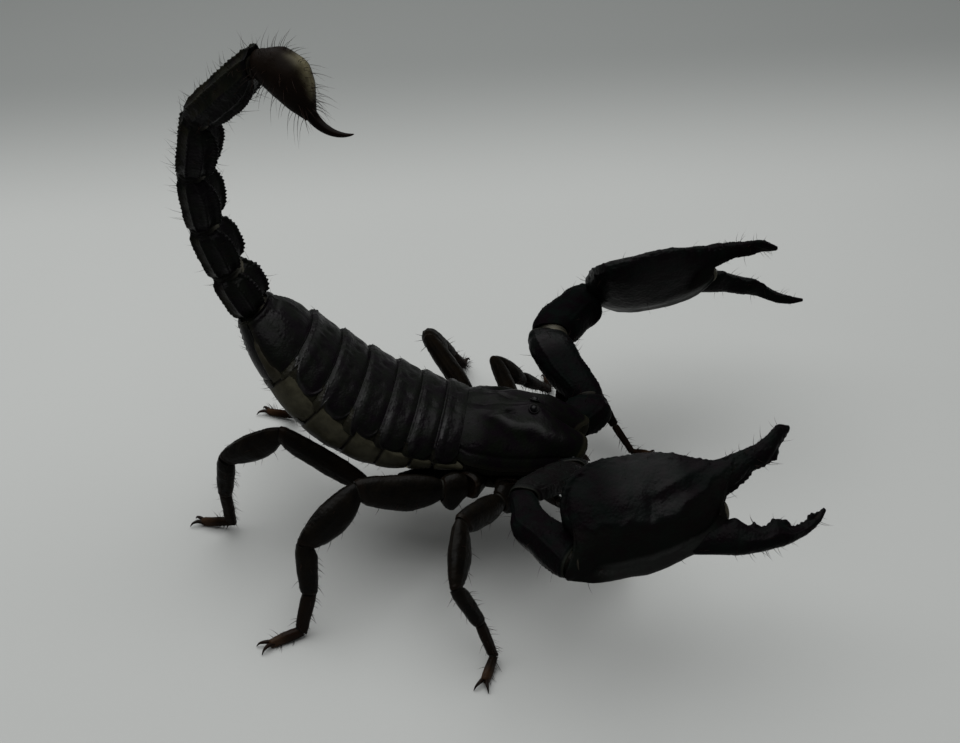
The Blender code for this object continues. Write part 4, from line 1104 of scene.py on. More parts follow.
def palp_places(side):
    """Frames of the arm's three pieces and of the claw, whose up points to the fixed finger."""
    *poses, roll, _ = PALP_POSE[side]
    here, places = on_prosoma(mirrored(PALP_SOCKET, side)), []
    for length, pose in zip(PALP_LENGTHS, poses):
        places.append(placed(here, heading(*pose)))
        here = here + places[-1].axis * length
    upright = placed(here, heading(*poses[3]))
    inwards = -upright.side * TURN[side]
    c, s = turned(roll)
    up, out = upright.up * c + inwards * s, upright.up * s - inwards * c
    return places, Place(here, upright.axis, up, out)


# outline factors of a piece, over its share t and the signs of X (c) and Z (s)
BENT = {("right", 1): lambda t, c, s: (1, np.where(s < 0, 1 - 0.88 * ramp(t, 0.15, 0.5), 1)),
        ("right", 2): lambda t, c, s: (
            np.where(c > 0, 1 - 0.62 * bump(t, 0.42, 0.26), 1 + 0.80 * bump(t, 0.27, 0.20)),
            np.where(s > 0, 1 - 0.35 * bump(t, 0.45, 0.28), 1)),
        ("left", 0): lambda t, c, s: (np.where(c < 0, 1 + 0.48 * bump(t, 0.62, 0.34), 1), 1),
        ("left", 1): lambda t, c, s: (1 + 0.27 * ramp(t, 0.1, 0.5) * np.sign(c), 1),
        ("left", 2): lambda t, c, s: (
            np.where(c < 0, 1 + 0.75 * bump(t, 0.92, 0.24), 1 - 0.28 * ramp(t, 0.2, 0.6)), 1)}
# painted highlights: a glint along the right patella's lower rim and a band near the left femur's
# end
PAINTED_SHINE = {("right", 2): lambda t, q: 2.8 * bump(t, 0.62, 0.14) * around(q, 0.57, 0.03),
         ("left", 1): lambda t, q: 0.9 * bump(t, 0.84, 0.14)}


def arm_piece(places, planes, k, side, seed):
    """Piece k of an arm: a blunt square section, keels at its corners and grains between."""
    def outline(t, q):
        """A squarish oval times the piece's half sizes and its own bends."""
        size = smooth(t, *PALP_SHAPES[k])
        if side == "right":
            size = size * smooth(t, (0, 0.2, 0.5, 1.0), SLIMMER[k])
        c, s = squircle(q, 2.6)
        wider, deeper = BENT[side, k](t, c, s) if (side, k) in BENT else (1, 1)
        return PALP_HALF_WIDTH[k] * size * c * wider, PALP_HALF_DEPTH[k] * size * s * deeper

    start, end = ends(planes, k)
    if (side, k) == ("left", 1):
        end = (end[0] - end[1] * ELBOW_GAP, end[1])
    elif (side, k) == ("left", 2):
        start = (start[0] + start[1] * ELBOW_GAP, start[1])
    grid, t, q, mask = limb(places[k], PALP_LENGTHS[k], outline, start, end,
                            PALP_ROWS[k], 128, (0.7, 1.0))
    body = mask * span(t, 0.06, 0.16, 0.9, 0.97)
    height = 0.05 * grains(grid, 0.55, seed) + 0.06 * mottle(grid, 1.5, seed + 1)
    height += 0.03 * mottle(grid, 0.6, seed + 2)
    for number, at in enumerate((0.115, 0.385, 0.615, 0.885)):
        saw = teeth(t * PALP_LENGTHS[k], 0.6, seed + 3 + number, 1.0)
        height += 0.20 * around(q, at, 0.016) * (0.5 + 0.5 * saw) - 0.05 * around(q, at, 0.05)
    grid = raised(grid, height * body + 0.10 * bump(t, 0.955, 0.018) * mask)
    bed("claws", grid, body, PALP_BRISTLES[k], (0.8, 2.0), 0.036, seed + 8, 0.3)
    tone = 0.3 * ramp(t, 0.965, 0.99)
    # painted highlight: the upper half of the right femur is a little lighter
    if (side, k) == ("right", 1):
        tone = np.maximum(tone, 0.05 * ramp(np.sin(math.tau * q), 0, 0.6) * mask)
    painted_shine = PAINTED_SHINE[side, k](t, q) if (side, k) in PAINTED_SHINE else 0.0
    return tube(grid, tone=tone, dull=ARM_PAINTED_SHADE[side][k] - painted_shine)


print("the right wrist is at", palp_places("right")[1].origin.round(1), "mm")

# %% [markdown]
# ### Claws
# The hand's outer face has a keel from wrist to free finger with smooth cuticle below it, a ridge
# up to the fixed finger, and faint cell borders between. Its upper edge is set with grains. Both
# fingers have a cutting edge of small teeth and a few larger knobs. Painted shade dulls the right
# hand below its keel. The left hand is seen from its inner face, where a painted highlight picks
# out the lower edge.

# %% Claws
CLAW_SCALE = 1.06
CLAW_JOINT = (-0.2, -4.2)
FINGER_HINGE = (16.4, -4.2)
# rows: low x, low w, high x, high w, half thickness
CLAW_HAND = np.array((
    (0.2, -6.1, -0.5, -2.4, 1.4), (1.2, -6.7, -0.9, 1.4, 2.0), (2.8, -7.0, -0.3, 4.0, 2.5),
    (5.2, -7.1, 1.7, 5.9, 2.85), (8.2, -7.0, 5.1, 6.9, 3.0), (11.0, -6.6, 9.5, 7.0, 3.0),
    (13.4, -5.9, 13.4, 6.4, 2.85), (15.4, -5.2, 16.2, 5.4, 2.5), (17.3, -3.7, 18.2, 4.8, 2.1),
    (18.4, -2.0, 19.4, 4.9, 1.75), (18.4, -0.1, 20.4, 5.1, 1.5), (20.2, 1.2, 21.6, 5.4, 1.25),
    (21.6, 2.5, 23.2, 5.8, 1.05), (24.0, 3.2, 25.0, 6.6, 0.85), (26.2, 5.1, 26.8, 7.6, 0.6),
    (28.1, 6.6, 28.2, 7.3, 0.28))).T
CLAW_FINGER = np.array((
    (13.6, -5.6, 17.0, -2.6, 0.9), (16.0, -6.0, 19.2, -2.2, 1.25), (17.8, -6.3, 20.1, -2.9, 1.4),
    (19.9, -6.6, 21.1, -3.7, 1.35), (22.3, -6.6, 22.7, -3.9, 1.2), (23.9, -6.5, 24.1, -3.3, 1.1),
    (26.0, -6.2, 26.2, -4.5, 0.9), (28.4, -5.5, 28.3, -4.2, 0.7), (30.0, -4.6, 29.7, -3.7, 0.5),
    (31.1, -3.4, 30.9, -3.0, 0.26))).T
CLAW_BOW = (0.0, 4.0, 8.0, 11.0, 14.5, 17.5, 20.0, 25.0, 28.0, 31.5), \
    (-0.2, -0.4, -0.5, -0.3, 0.3, 1.3, 1.9, 1.5, 0.3, -0.6)
HINGE_PAD = (17.9, -1.3)


def claw_grid(claw, table, opening, rows, columns, start=None):
    """Grid of a claw part with its flat place, row number, turn and a mask that is 0 on its ends.

    At turn q the flat place is middle + cos(q) * half of the upper minus the lower point, and it
    leaves the claw's plane by sin(q) times the thickness. Opening turns it about the hinge.
    """
    count = table.shape[1]
    p = np.linspace(0.02, count - 1, rows)
    p = np.concatenate((np.zeros(len(ROLL)), p, np.full(3, count - 1.0)))[:, None]
    scale = np.concatenate((ROLL[:, 0], np.ones(rows), (0.8, 0.45, 0.0)))[:, None]
    push = np.concatenate((ROLL[:, 1] * 0.8, np.zeros(rows), (0.06, 0.12, 0.14)))[:, None]
    low_x, low_w, high_x, high_w, thick = (smooth(p, np.arange(count), row) for row in table)
    q = np.arange(columns)[None, :] / columns
    c, s = turned(-opening)
    cosine, sine = circle(q)

    def spot(x, w):
        """Place of a flat place, turned about the hinge and bowed out of the claw's plane."""
        dx, dw = x - FINGER_HINGE[0], w - FINGER_HINGE[1]
        flat_x = (dx * c - dw * s + FINGER_HINGE[0] - CLAW_JOINT[0]) * CLAW_SCALE
        flat_w = (dx * s + dw * c + FINGER_HINGE[1] - CLAW_JOINT[1]) * CLAW_SCALE
        out = smooth(x, *CLAW_BOW) * CLAW_SCALE
        out = out - 0.035 * np.maximum(w, 0) ** 2 * np.maximum(1 - x / 14, 0)
        return moved(claw.origin, (flat_x, claw.axis), (flat_w, claw.up), (out, claw.side))

    low, high = spot(low_x, low_w), spot(high_x, high_w)
    swell = thick * CLAW_SCALE * (1 - 0.25 * cosine) * sine * scale
    grid = moved((low + high) / 2, (cosine * scale, (high - low) / 2),
                 (swell, claw.side), (push, claw.axis))
    if start is not None:
        point, normal = start
        slide = np.einsum("ijk,k->ij", point - grid, normal) / np.dot(claw.axis, normal)
        grid = moved(grid, (slide * np.clip(1 - p, 0, 1) ** 2 + push * (p < 0.01), claw.axis))
    x, w = ((a + b) / 2 + cosine * (b - a) / 2 for a, b in ((low_x, high_x), (low_w, high_w)))
    return (grid, *np.broadcast_arrays(x, w, p, q), ramp(scale, 0.9, 1.0))


print("a hand has", CLAW_HAND.shape[1], "rows and a free finger", CLAW_FINGER.shape[1])

# %% [markdown]
# ### The hand's relief
# Bells across a line make keels and grooves, bells in two directions make swellings and dents,
# and each has ramps where it begins and ends. The two hands differ a little, and their painted
# shade and painted highlights follow the same lines.

# %% Hand relief
def hand_keel(x):
    """Height of the keel at x: a wavy fall from the wrist, then a rise to the fixed finger."""
    wave = 0.22 * np.sin(1.9 * x) + 0.12 * np.sin(3.7 * x + 1)
    fall, rise = -0.5 - 0.09 * (x - 3), -1.3 + 0.68 * (x - 11.5)
    return (fall + rise + np.sqrt((fall - rise) ** 2 + 0.8)) / 2 + wave


def hand_height(grid, x, w, p, q, seed):
    """Relief of a hand: keels, a ridge, a net and grains on its outer face."""
    flat = np.stack((x, w, 0 * x), axis=-1)
    cosine, sine = circle(q)
    outer = ramp(sine, 0.1, 0.45)
    palm = span(p, 1.2, 3.0, 8.5, 10.0)
    keel_at, ridge_at = hand_keel(x), 2.4 + (x - 11.2) * 0.36
    below = np.clip(keel_at - w, -1, 5)
    height = 0.12 * bump(w, keel_at, 0.5) - 0.13 * (np.sqrt(below ** 2 + 0.25) + below)
    height = (height - 0.05 * np.clip(w - keel_at, 0, 5)) * outer * span(x, 0.5, 3, 18, 22)
    height += 0.16 * bump(w, ridge_at, 0.45) * outer * span(x, 9.3, 11, 16, 19)
    height -= 0.22 * bump(w, ridge_at - 1.5, 0.9) * outer * span(x, 10, 11.5, 14, 17)
    height += 0.42 * bump(x, 6.6, 2.6) * bump(w, 1.6, 2.2) * outer
    height -= 0.42 * bump(x, 9.9 + 0.25 * (w - 1), 0.6) * bump(w, 0.9, 1.7) * outer
    height -= 0.16 * np.clip(4.5 - x, 0, 4.5) * outer
    net = network(flat + 0.25 * mottle(flat, 1.1, seed)[..., None], 2.6, seed + 1, 0.30)
    height += (0.03 * ramp(w, -2.5, -1.5) + 0.01) * net * outer * palm
    height += 0.02 * (1 - outer) * network(grid, 1.8, seed + 2, 0.2) * palm
    height += 0.25 * (1 - outer) * bump(-cosine, 0.62, 0.08) * palm
    rim = ramp(cosine, 0.82, 0.96) * span(p, 0.8, 2, 9.5, 11)
    height += 0.18 * grains(grid, 0.78, seed + 3, 0.46) * rim
    height += 0.18 * bump(cosine, -0.93, 0.06) * outer * span(p, 1, 2.5, 7, 8.5)
    height += 0.07 * grains(grid, 0.6, seed + 4) * ramp(p, 8, 10)
    return height + 0.12 * mottle(grid, 3.0, seed + 5) + 0.03 * mottle(grid, 0.9, seed + 6)


def cutting_edge(along, q, at, seed):
    """Small saw teeth with a knob every four millimetres, in a narrow band round the section."""
    knobs = bump((along % 3.9) - 1.9, 0, 0.6)
    return (0.10 + 0.20 * teeth(along, 0.62, seed, 1.0) + 0.5 * knobs) * around(q, at, 0.045)


def hand_table(side):
    """Rows of the hand, with the lobes and the trimmed edge that differ between the sides."""
    table, n = CLAW_HAND.copy(), np.arange(CLAW_HAND.shape[1])
    if side == "right":
        table[2] += 0.7 * bump(n, 1.8, 1.3)
    else:
        table[1] += 2.1 * bump(n, 1.3, 1.1) + 0.9 * bump(n, 4.2, 2.0)
        table[2] += 1.6 * bump(n, 1.8, 1.5)
        table[3] += 1.1 * bump(n, 5.5, 2.0) - 1.8 * bump(n, 1.8, 1.5) + 1.2 * bump(n, 4.5, 2.8)
    return table


def hand_painted_light(side, x, w, q, below):
    """Dull of a hand: painted shade and highlights, with a painted highlight along its lower rim.
    """
    edge, length = -np.cos(math.tau * q), span(x, 2, 5, 15, 18)
    # painted shade below the keel and towards the ends; painted highlights in the middle and on the
    # rim
    if side == "right":
        rim = ramp(edge, 0.70, 0.86) * length
        painted_shade = np.maximum.reduce((0.8 * below, 0.8 * ramp(x, 9, 4), 0.7 * ramp(x, 12.5, 15),
                                  0.25 - 0.75 * bump(x, 10.6, 1.7)))
    else:
        rim = 1.6 * bump(edge, 0.56, 0.18) * length
        painted_shade = 0.2 + 0.6 * bump(w, 0.35 * x - 5.0, 2.0) + 0.5 * ramp(x, 14, 17)
    return painted_shade * (1 - np.minimum(rim, 1)) - 2.0 * rim


print("the keel falls to", hand_keel(np.linspace(0, 12, 49)).min().round(1), "mm")

# %% Arms and claws
for side, seed in (("right", 200), ("left", 260)):
    places, claw = palp_places(side)
    planes = joint_planes(places + [claw], claw.origin)[:4]
    for k, name in enumerate(PALP_NAMES):
        make(f"arm_{side}_{name}", arm_piece(places, planes, k, side, seed + 10 * k), hand_black,
             [f"pedipalp_{side}_{name}"])
    point, normal = planes[3]
    grid, x, w, p, q, mask = claw_grid(claw, hand_table(side), 0, 200, 190,
                                       (point + normal * GAP / 2, normal))
    height = hand_height(grid, x, w, p, q, seed + 30)
    height += cutting_edge(x, q, 0.5, seed + 40) * span(p, 10, 11.5, 14, 15)
    grid = raised(grid, height * mask * ramp(p, 0.1, 0.8))
    below = ramp(hand_keel(x) - w, -0.2, 0.8) * ramp(x, 22, 18)
    shell = tube(grid, tone=0.1 * below, dull=hand_painted_light(side, x, w, q, below))
    make(f"hand_{side}", shell, hand_black, [f"pedipalp_{side}_hand"])
    edges = np.abs(np.cos(math.tau * q))
    bed("claws", grid, 0.25 + ramp(p, 9, 11) + 0.6 * ramp(edges, 0.8, 1), 46, (0.8, 2.0), 0.036,
        seed + 41, 0.2)
    grid, x, w, p, q, mask = claw_grid(claw, CLAW_FINGER, PALP_POSE[side][-1], 110, 96)
    height = cutting_edge(x, q, 0.0, seed + 42) * span(p, 2.2, 3.0, 8, 9)
    height += 0.06 * grains(grid, 0.6, seed + 43) * ramp(p, 1.5, 2.5)
    height += 0.05 * mottle(grid, 1.0, seed + 44)
    height += 0.12 * bump(q, 0.25, 0.03) * span(p, 2, 3, 6, 8)
    grid = raised(grid, height * mask)
    make(f"free_finger_{side}", tube(grid, dull=0.65), hand_black, [f"pedipalp_{side}_finger"])
    edges = np.abs(np.cos(math.tau * q))
    bed("claws", grid, ramp(p, 2, 3) * (0.4 + ramp(edges, 0.6, 1)), 34, (0.7, 1.7), 0.036,
        seed + 45, 0.2)
    # soft skin at each bend of the arm, and a pad between hand and free finger
    along, high = (HINGE_PAD[n] - CLAW_JOINT[n] for n in (0, 1))
    pad = claw.origin + (claw.axis * along + claw.up * high + claw.side * 0.9) * CLAW_SCALE
    sizes, dark, glint_window = ELBOW[side]
    soft = [knuckle(places[0], places[1], 1.9, 1.7, 1.1, dark=0.85),
            knuckle(places[1], places[2], *sizes, dark=dark, glint_window=glint_window),
            knuckle(places[2], placed(*claw[:3]), 1.2, 1.3, 0.8, dark=0.3),
            lens(pad, claw.up, 1.2, 1.5, 24, 32)]
    make(f"arm_{side}_joint_skin", soft, joint_skin)
print("hand", TRIANGLES["hand_right"], "and finger", TRIANGLES["free_finger_right"], "triangles")

# %% [markdown]
# ## The legs
# Eight legs bend each in its own tilted plane. The femur's pitch isn't given: it follows from the
# foot standing on the floor, by the arcsine of the height left over. Each leg has six tubes:
# trochanter, femur, patella, tibia and two foot pieces, then two hooked claws. Legs are deeper
# than they are thick, with grainy keels above and below, and bristles under the lower pieces.

# %% Leg frames
LEG_SOCKET = {1: (12.2, 7.4, -0.9), 2: (7.6, 8.6, -0.3), 3: (1.8, 9.4, -0.5), 4: (-7.5, 9.8, -2.6)}
LEG_LENGTHS = {1: (3.2, 8.4, 7.2, 5.6, 4.6, 4.2), 2: (3.2, 10.0, 8.8, 6.3, 4.9, 4.2),
               3: (3.6, 12.2, 9.8, 6.9, 5.4, 4.6), 4: (4.0, 14.2, 11.2, 8.0, 6.4, 4.8)}
LEG_DEPTH = {1: 2.7, 2: 3.6, 3: 4.4, 4: 3.9}
# azimuth, lean, and the pitches of all the pieces but the femur
LEG_POSE = {"right": ((-40, -41, -20, -80, -109, -100, -45), (-108, -26, -2, -36, -98, -82, -13),
                      (-149, -13, 8, -33, -85, -68, -6), (-188, 14, -5, -36, -78, -87, -12)),
            "left": ((76, 46, -34, -47, -118, -109, -50), (104, 37, -9, -60, -52, -51, -15),
                     (115, 33, 7, -39, -57, -66, -36), (165, 36, -20, -57, -71, -76, -9))}
FOOT_AXIS_HEIGHT = 0.6


def leg_places(side, number):
    """Frames of a leg's six pieces and the tip of the last."""
    azimuth, lean, first, *rest = LEG_POSE[side][number - 1]
    lengths = LEG_LENGTHS[number]
    out = heading(azimuth)
    c, s = turned(lean)
    up = UP * c + np.array((-out[1], out[0], 0.0)) * s
    here, places = on_prosoma(mirrored(LEG_SOCKET[number], side)), []
    others = lengths[0] * turned(first)[1]
    others += sum(length * turned(pitch)[1] for length, pitch in zip(lengths[2:], rest))
    femur = math.degrees(math.asin(((FOOT_AXIS_HEIGHT - here[2]) / c - others) / lengths[1]))
    for length, pitch in zip(lengths, [first, femur] + rest):
        cp, sp = turned(pitch)
        places.append(placed(here, out * cp + up * sp, up * cp - out * sp))
        here = here + places[-1].axis * length
    return places, here


print("the right third foot is at", leg_places("right", 3)[1].round(1), "mm")

# %% Leg pieces
LEG_SHAPES = (((0, 0.5, 0.85, 1), (0.74, 0.95, 0.86, 0.70)),
              ((0, 0.12, 0.45, 0.8, 0.93, 1), (0.62, 0.84, 1.0, 0.94, 0.84, 0.70)),
              ((0, 0.16, 0.5, 0.8, 0.93, 1), (0.62, 0.9, 1.08, 0.88, 0.68, 0.56)),
              ((0, 0.2, 0.85, 1), (0.56, 0.67, 0.58, 0.48)),
              ((0, 0.15, 0.85, 1), (0.44, 0.46, 0.42, 0.38)))
LEG_ROWS, LEG_COLUMNS = (28, 60, 60, 44, 36, 36), (56, 72, 72, 56, 48, 48)
LEG_BRISTLES = (2, 9, 14, 24, 24, 24)
LEG_FLATNESS = (0.62, 0.62, 0.62, 0.8, 0.8, 0.8)
# place round the section and height of each keel
LEG_KEELS = ((0.22, 0.13), (0.29, 0.10), (0.71, 0.13), (0.79, 0.13), (0.03, 0.07), (0.47, 0.07))
KNUCKLE_SHARES = (0.29, 0.28, 0.23, 0.17, 0.16)


def leg_piece(places, planes, number, k, seed, painted_shade):
    """Tube k of a leg, with keels, grains and a foot sole that never goes below the floor."""
    depth = LEG_DEPTH[number]

    def outline(t, q):
        """An oval times the leg's depth, narrower sideways and in places deeper below."""
        if k == 5:
            size = smooth(t, (0, 0.2, 0.7, 0.9, 1.0), (depth * 0.33, depth * 0.36, 1.44, 1.35, 1.0))
        else:
            size = depth * smooth(t, *LEG_SHAPES[k])
        c, s = squircle(q, 2.2)
        deeper, at = (0.55, 0.62) if k == 0 else (0.28, 0.40) if (k, number) == (1, 3) else (0, 0)
        s = np.where(s < 0, s * (1 + deeper * bump(t, at, 0.35)), s)
        return size * LEG_FLATNESS[k] / 2 * c, size / 2 * s

    grid, t, q, mask = limb(places[k], LEG_LENGTHS[number][k], outline, *ends(planes, k, 0.1),
                            LEG_ROWS[k], LEG_COLUMNS[k], (0.35, 0.55 if k < 5 else 0.1))
    body = mask * span(t, 0.08, 0.18, 0.88, 0.97)
    height = 0.035 * grains(grid, 0.5, seed) + 0.05 * mottle(grid, 1.1, seed + 1)
    height += 0.02 * mottle(grid, 0.5, seed + 2)
    if k < 3:
        saw = 0.45 + 0.55 * teeth(t * LEG_LENGTHS[number][k], 0.55, seed + 3, 1.0)
        for at, tall in LEG_KEELS:
            height += tall * min(depth / 3.6, 1.0) * around(q, at, 0.018) * saw
    else:
        height += 0.05 * (around(q, 0.25, 0.04) - around(q, 0.0, 0.05) - around(q, 0.5, 0.05))
    grid = raised(grid, height * body + 0.06 * mask * bump(t, 0.955, 0.02))
    grid[..., 2] = np.maximum(grid[..., 2], 0.0)
    spiny = around(q, 0.68, 0.05) + around(q, 0.82, 0.05) + 0.25
    bed("legs", grid, body * spiny, LEG_BRISTLES[k], (0.6, 1.5), 0.045, seed + 5, 0.35)
    tone = 0.25 * ramp(t, 0.9, 0.98) if k < 4 else 0.3 if k == 4 else ramp(t, 0.3, 0.9)
    return tube(grid, tone=tone, dull=painted_shade)


HOOK = ((-0.6, 0.2, 0.05), (0.3, 0.42, 0.28), (1.0, 0.75, 0.12), (1.45, 1.0, -0.42))


def foot_claw(place, tip, turn):
    """One of the two hooks of a foot: a cone on a curve that bends down to the floor."""
    flat = unit(np.array((place.axis[0], place.axis[1], 0.0)))
    aside = np.array((-flat[1], flat[0], 0.0)) * turn
    line = [moved(tip, (out, flat), (wide, aside), (high, UP)) for out, wide, high in HOOK]
    return tube(horn(line, UP, (0.32, 0.27, 0.17, 0.05), 24, 20))


def build_leg(side, number):
    """One leg: thigh, patella and foot pieces, with soft skin at its joints."""
    places, tip = leg_places(side, number)
    planes, depth = joint_planes(places, tip), LEG_DEPTH[number]
    seed = 400 + 60 * number + (30 if side == "left" else 0)
    # painted shade: the far (left) legs and the right fourth leg reflect less
    painted_shade = 0.95 if side == "left" else 0.6 if number == 4 else 0.1
    shells = [leg_piece(places, planes, number, k, seed + 4 * k, painted_shade) for k in range(6)]
    name = f"leg_{side}_{number}"
    make(name + "_thigh", shells[:2], leg_black, [name + "_femur"])
    make(name + "_knee", shells[2], leg_black, [name + "_patella"])
    make(name + "_shin", shells[3:5], leg_black)
    claws = [foot_claw(places[-1], tip, turn) for turn in (-1, 1)]
    make(name + "_sole", shells[5:] + claws, foot_brown, [name + "_foot"])
    folds = [knuckle(before, after, depth * share * 0.66, depth * share, 0.8, 2, 12, 24, 0.9)
             for before, after, share in zip(places, places[1:], KNUCKLE_SHARES)]
    make(name + "_joint_skin", folds, joint_skin)


for side in ("right", "left"):
    for number in LEG_SOCKET:
        build_leg(side, number)
print("leg thigh", TRIANGLES["leg_right_3_thigh"], "triangles")

# %% [markdown]
# ## The underside
# From below, the first joint of every leg (the coxa) is a wedge that reaches in to the middle,
# where a small five-sided breastplate sits. Behind it come the genital plates and the combs.
# Each coxa is a short tube from a root beside the middle line to its leg's socket, and a soft
# body skin fills the space between them and the shield.

# %% Breast and coxae
BREAST_ROWS = ((-3.6, -3.0, 0.4, 5.0, 10.0, 13.0, 14.0), (0.4, 2.6, 6.6, 7.6, 6.8, 5.0, 3.6),
               (-1.0, -0.9, -0.3, -0.2, -0.2, -0.9, -1.2))
BREAST_LOW = -3.1


def coxa(first, side, root, size, seed):
    """Tube of a limb's root, slanted at its far end to meet the limb."""
    start = on_prosoma(mirrored(root, side))
    place = placed(start, first.origin - start)
    normal = unit(place.axis + first.axis)

    def outline(t, q):
        """A squarish oval that narrows towards the leg."""
        c, s = squircle(q, 2.5)
        wide = size * smooth(t, (0, 0.5, 0.9, 1.0), (0.62, 0.92, 0.95, 0.80))
        return wide * c, wide * 0.9 * s

    planes = (start, place.axis), (first.origin - normal * GAP * 0.5, normal)
    grid, t, q, mask = limb(place, np.linalg.norm(first.origin - start), outline, *planes,
                            44, 64, (0.1, 0.6))
    height = 0.04 * grains(grid, 0.5, seed) + 0.07 * mottle(grid, 1.4, seed + 1)
    height += 0.12 * (around(q, 0.03, 0.02) + around(q, 0.47, 0.02) + bump(t, 0.94, 0.03))
    return tube(raised(grid, height * mask), tone=0.5 * ramp(t, 0.95, 0.99))


roots = []
for side in ("right", "left"):
    for number in LEG_SOCKET:
        root, size = (6.5 - 1.7 * (number - 1) + 1.0, 1.6, -2.0), LEG_DEPTH[number] * 0.5
        roots.append(coxa(leg_places(side, number)[0][0], side, root, size, 700 + number))
    roots.append(coxa(palp_places(side)[0][0], side, (9.0, 2.6, -1.3), 2.5, 710))
make("coxae", roots, leg_black, ["coxosternum"])

x, half, drop = (smooth(np.linspace(0, 6, 70), np.arange(7), row)[:, None] for row in BREAST_ROWS)
top_z = CARAPACE_FLOOR[0] + CARAPACE_FLOOR[1] * np.maximum(x, 0) - GAP + drop
c, s = circle(np.arange(72) / 72)
z = (top_z + BREAST_LOW) / 2 + s * (top_z - BREAST_LOW) / 2
grid = closed(on_prosoma((x + 0 * z, half * c, z)), 0.0 * z)
grid = closed(grid, 0.10 * mottle(grid, 1.2, 720) + 0.05 * mottle(grid, 0.5, 721))
make("breast_skin", tube(grid, tone=0.9), joint_skin)


def small_plate(corners, low, thick, seed, rows=40):
    """Small plate under the body: a fan of a closed outline, domed by one minus radius^4."""
    corners = np.array(corners, float)
    ring = np.concatenate((corners, corners[:1]))
    step = np.concatenate(([0.0], np.cumsum(np.linalg.norm(np.diff(ring, axis=0), axis=1))))
    around = np.linspace(0, step[-1], 72, endpoint=False)
    edge = np.stack([np.interp(around, step, ring[:, n]) for n in (0, 1)], axis=-1)
    middle = corners.mean(axis=0)
    r = np.concatenate((np.linspace(0, 1, rows // 2), np.linspace(1, 0, rows // 2)))[:, None]
    x, y = np.moveaxis(middle + (edge - middle)[None] * r[..., None], -1, 0)
    down = np.where(np.arange(rows)[:, None] < rows // 2, thick, -0.15) * (1 - r ** 4)
    z = low - down + 0.03 * mottle(np.stack((x, y, 0 * x), -1), 0.8, seed)
    return tube(on_prosoma((x, y, z)))


breast = [small_plate(((3.9, 0.0), (3.4, 1.1), (1.4, 1.35), (0.9, 0.9), (0.9, -0.9), (1.4, -1.35),
                       (3.4, -1.1)), -3.25, 0.35, 730)]
for turn in (-1, 1):
    corners = ((0.75, 0.08), (0.7, 1.5), (-0.5, 1.75), (-0.9, 0.9), (-0.8, 0.08))
    breast.append(small_plate([(x, y * turn) for x, y in corners], -3.15, 0.3, 731 + turn))
breast.append(small_plate(((-1.0, -1.9), (-1.0, 1.9), (-2.6, 1.7), (-2.9, 0.0), (-2.6, -1.7)),
                          -2.85, 0.4, 735))
make("breast_plates", breast, leg_black)
print(len(roots), "coxae and", len(breast), "breast plates")

# %% [markdown]
# ### Combs
# The pectines are sense organs found only in scorpions: a pair of pale combs that brush the
# ground. Each has a flat spine in two strips and a row of rounded teeth along its rear edge, with
# little beads between the teeth and the spine. Every tooth is one short flattened horn.

# %% Pectines
COMB_ROOT, COMB_LENGTH, COMB_HEADING, COMB_TEETH = (-0.8, 1.7, -4.0), 8.6, 164.0, 14
COMB_SPINES = ((((0.0, 0.1), (2.5, 0.3), (6.0, 0.1), (8.4, -0.35)), (0.42, 0.5, 0.42, 0.18)),
               (((0.3, -0.5), (2.5, -0.35), (6.0, -0.45), (8.2, -0.6)), (0.34, 0.40, 0.34, 0.15)))


def comb(side):
    """Spine, beads and teeth of one comb."""
    c, s = turned(COMB_HEADING)

    def spot(along, wide, high=0.0):
        """Place on the comb: along its spine, across it and up."""
        x, y = COMB_ROOT[0] + along * c + wide * s, COMB_ROOT[1] + along * s - wide * c
        return on_prosoma(mirrored((x, y, COMB_ROOT[2] + high + 0.15 * along), side))

    up = tipped((0, 0, 1))
    parts = [tube(horn([spot(*place) for place in line], up, radii, 50, 32))
             for line, radii in COMB_SPINES]
    pitch = (COMB_LENGTH - 0.9) / COMB_TEETH
    for near in 0.7 + np.arange(COMB_TEETH) * pitch:
        line = [spot(near, -0.75, 0.02), spot(near - 0.05, -1.3), spot(near - 0.12, -1.95, -0.05)]
        parts.append(tube(horn(line, up, (0.20, 0.27, 0.17), 14, 14)))
        parts.append(lens(spot(near + pitch / 2, -0.82, -0.12), -up, 0.17, 0.8, 8, 10))
    return parts


for side in ("right", "left"):
    make("comb_" + side, comb(side), comb_pale, ["pecten_" + side])
print("two combs with", COMB_TEETH, "teeth each")

# %% [markdown]
# ## Bristles
# Stiff dark red-brown hairs (setae) stand on the tail, the claws and the lower legs. They feel
# air and ground. Each is a bent four-sided cone of thirty triangles: its middle runs out along a
# direction and sags by the square of the length, and its radius falls to a point. Its own patch
# of the texture map lies where its root sits on its piece, a tile of the map for each piece.

# %% Setae
SHARES = np.array((0.0, 0.3, 0.6, 0.85))
PAPER_REACH = 0.4    # lower than this a bristle bends along the floor instead of into it
PATCH = 0.0015       # half width of a bristle's patch of the map


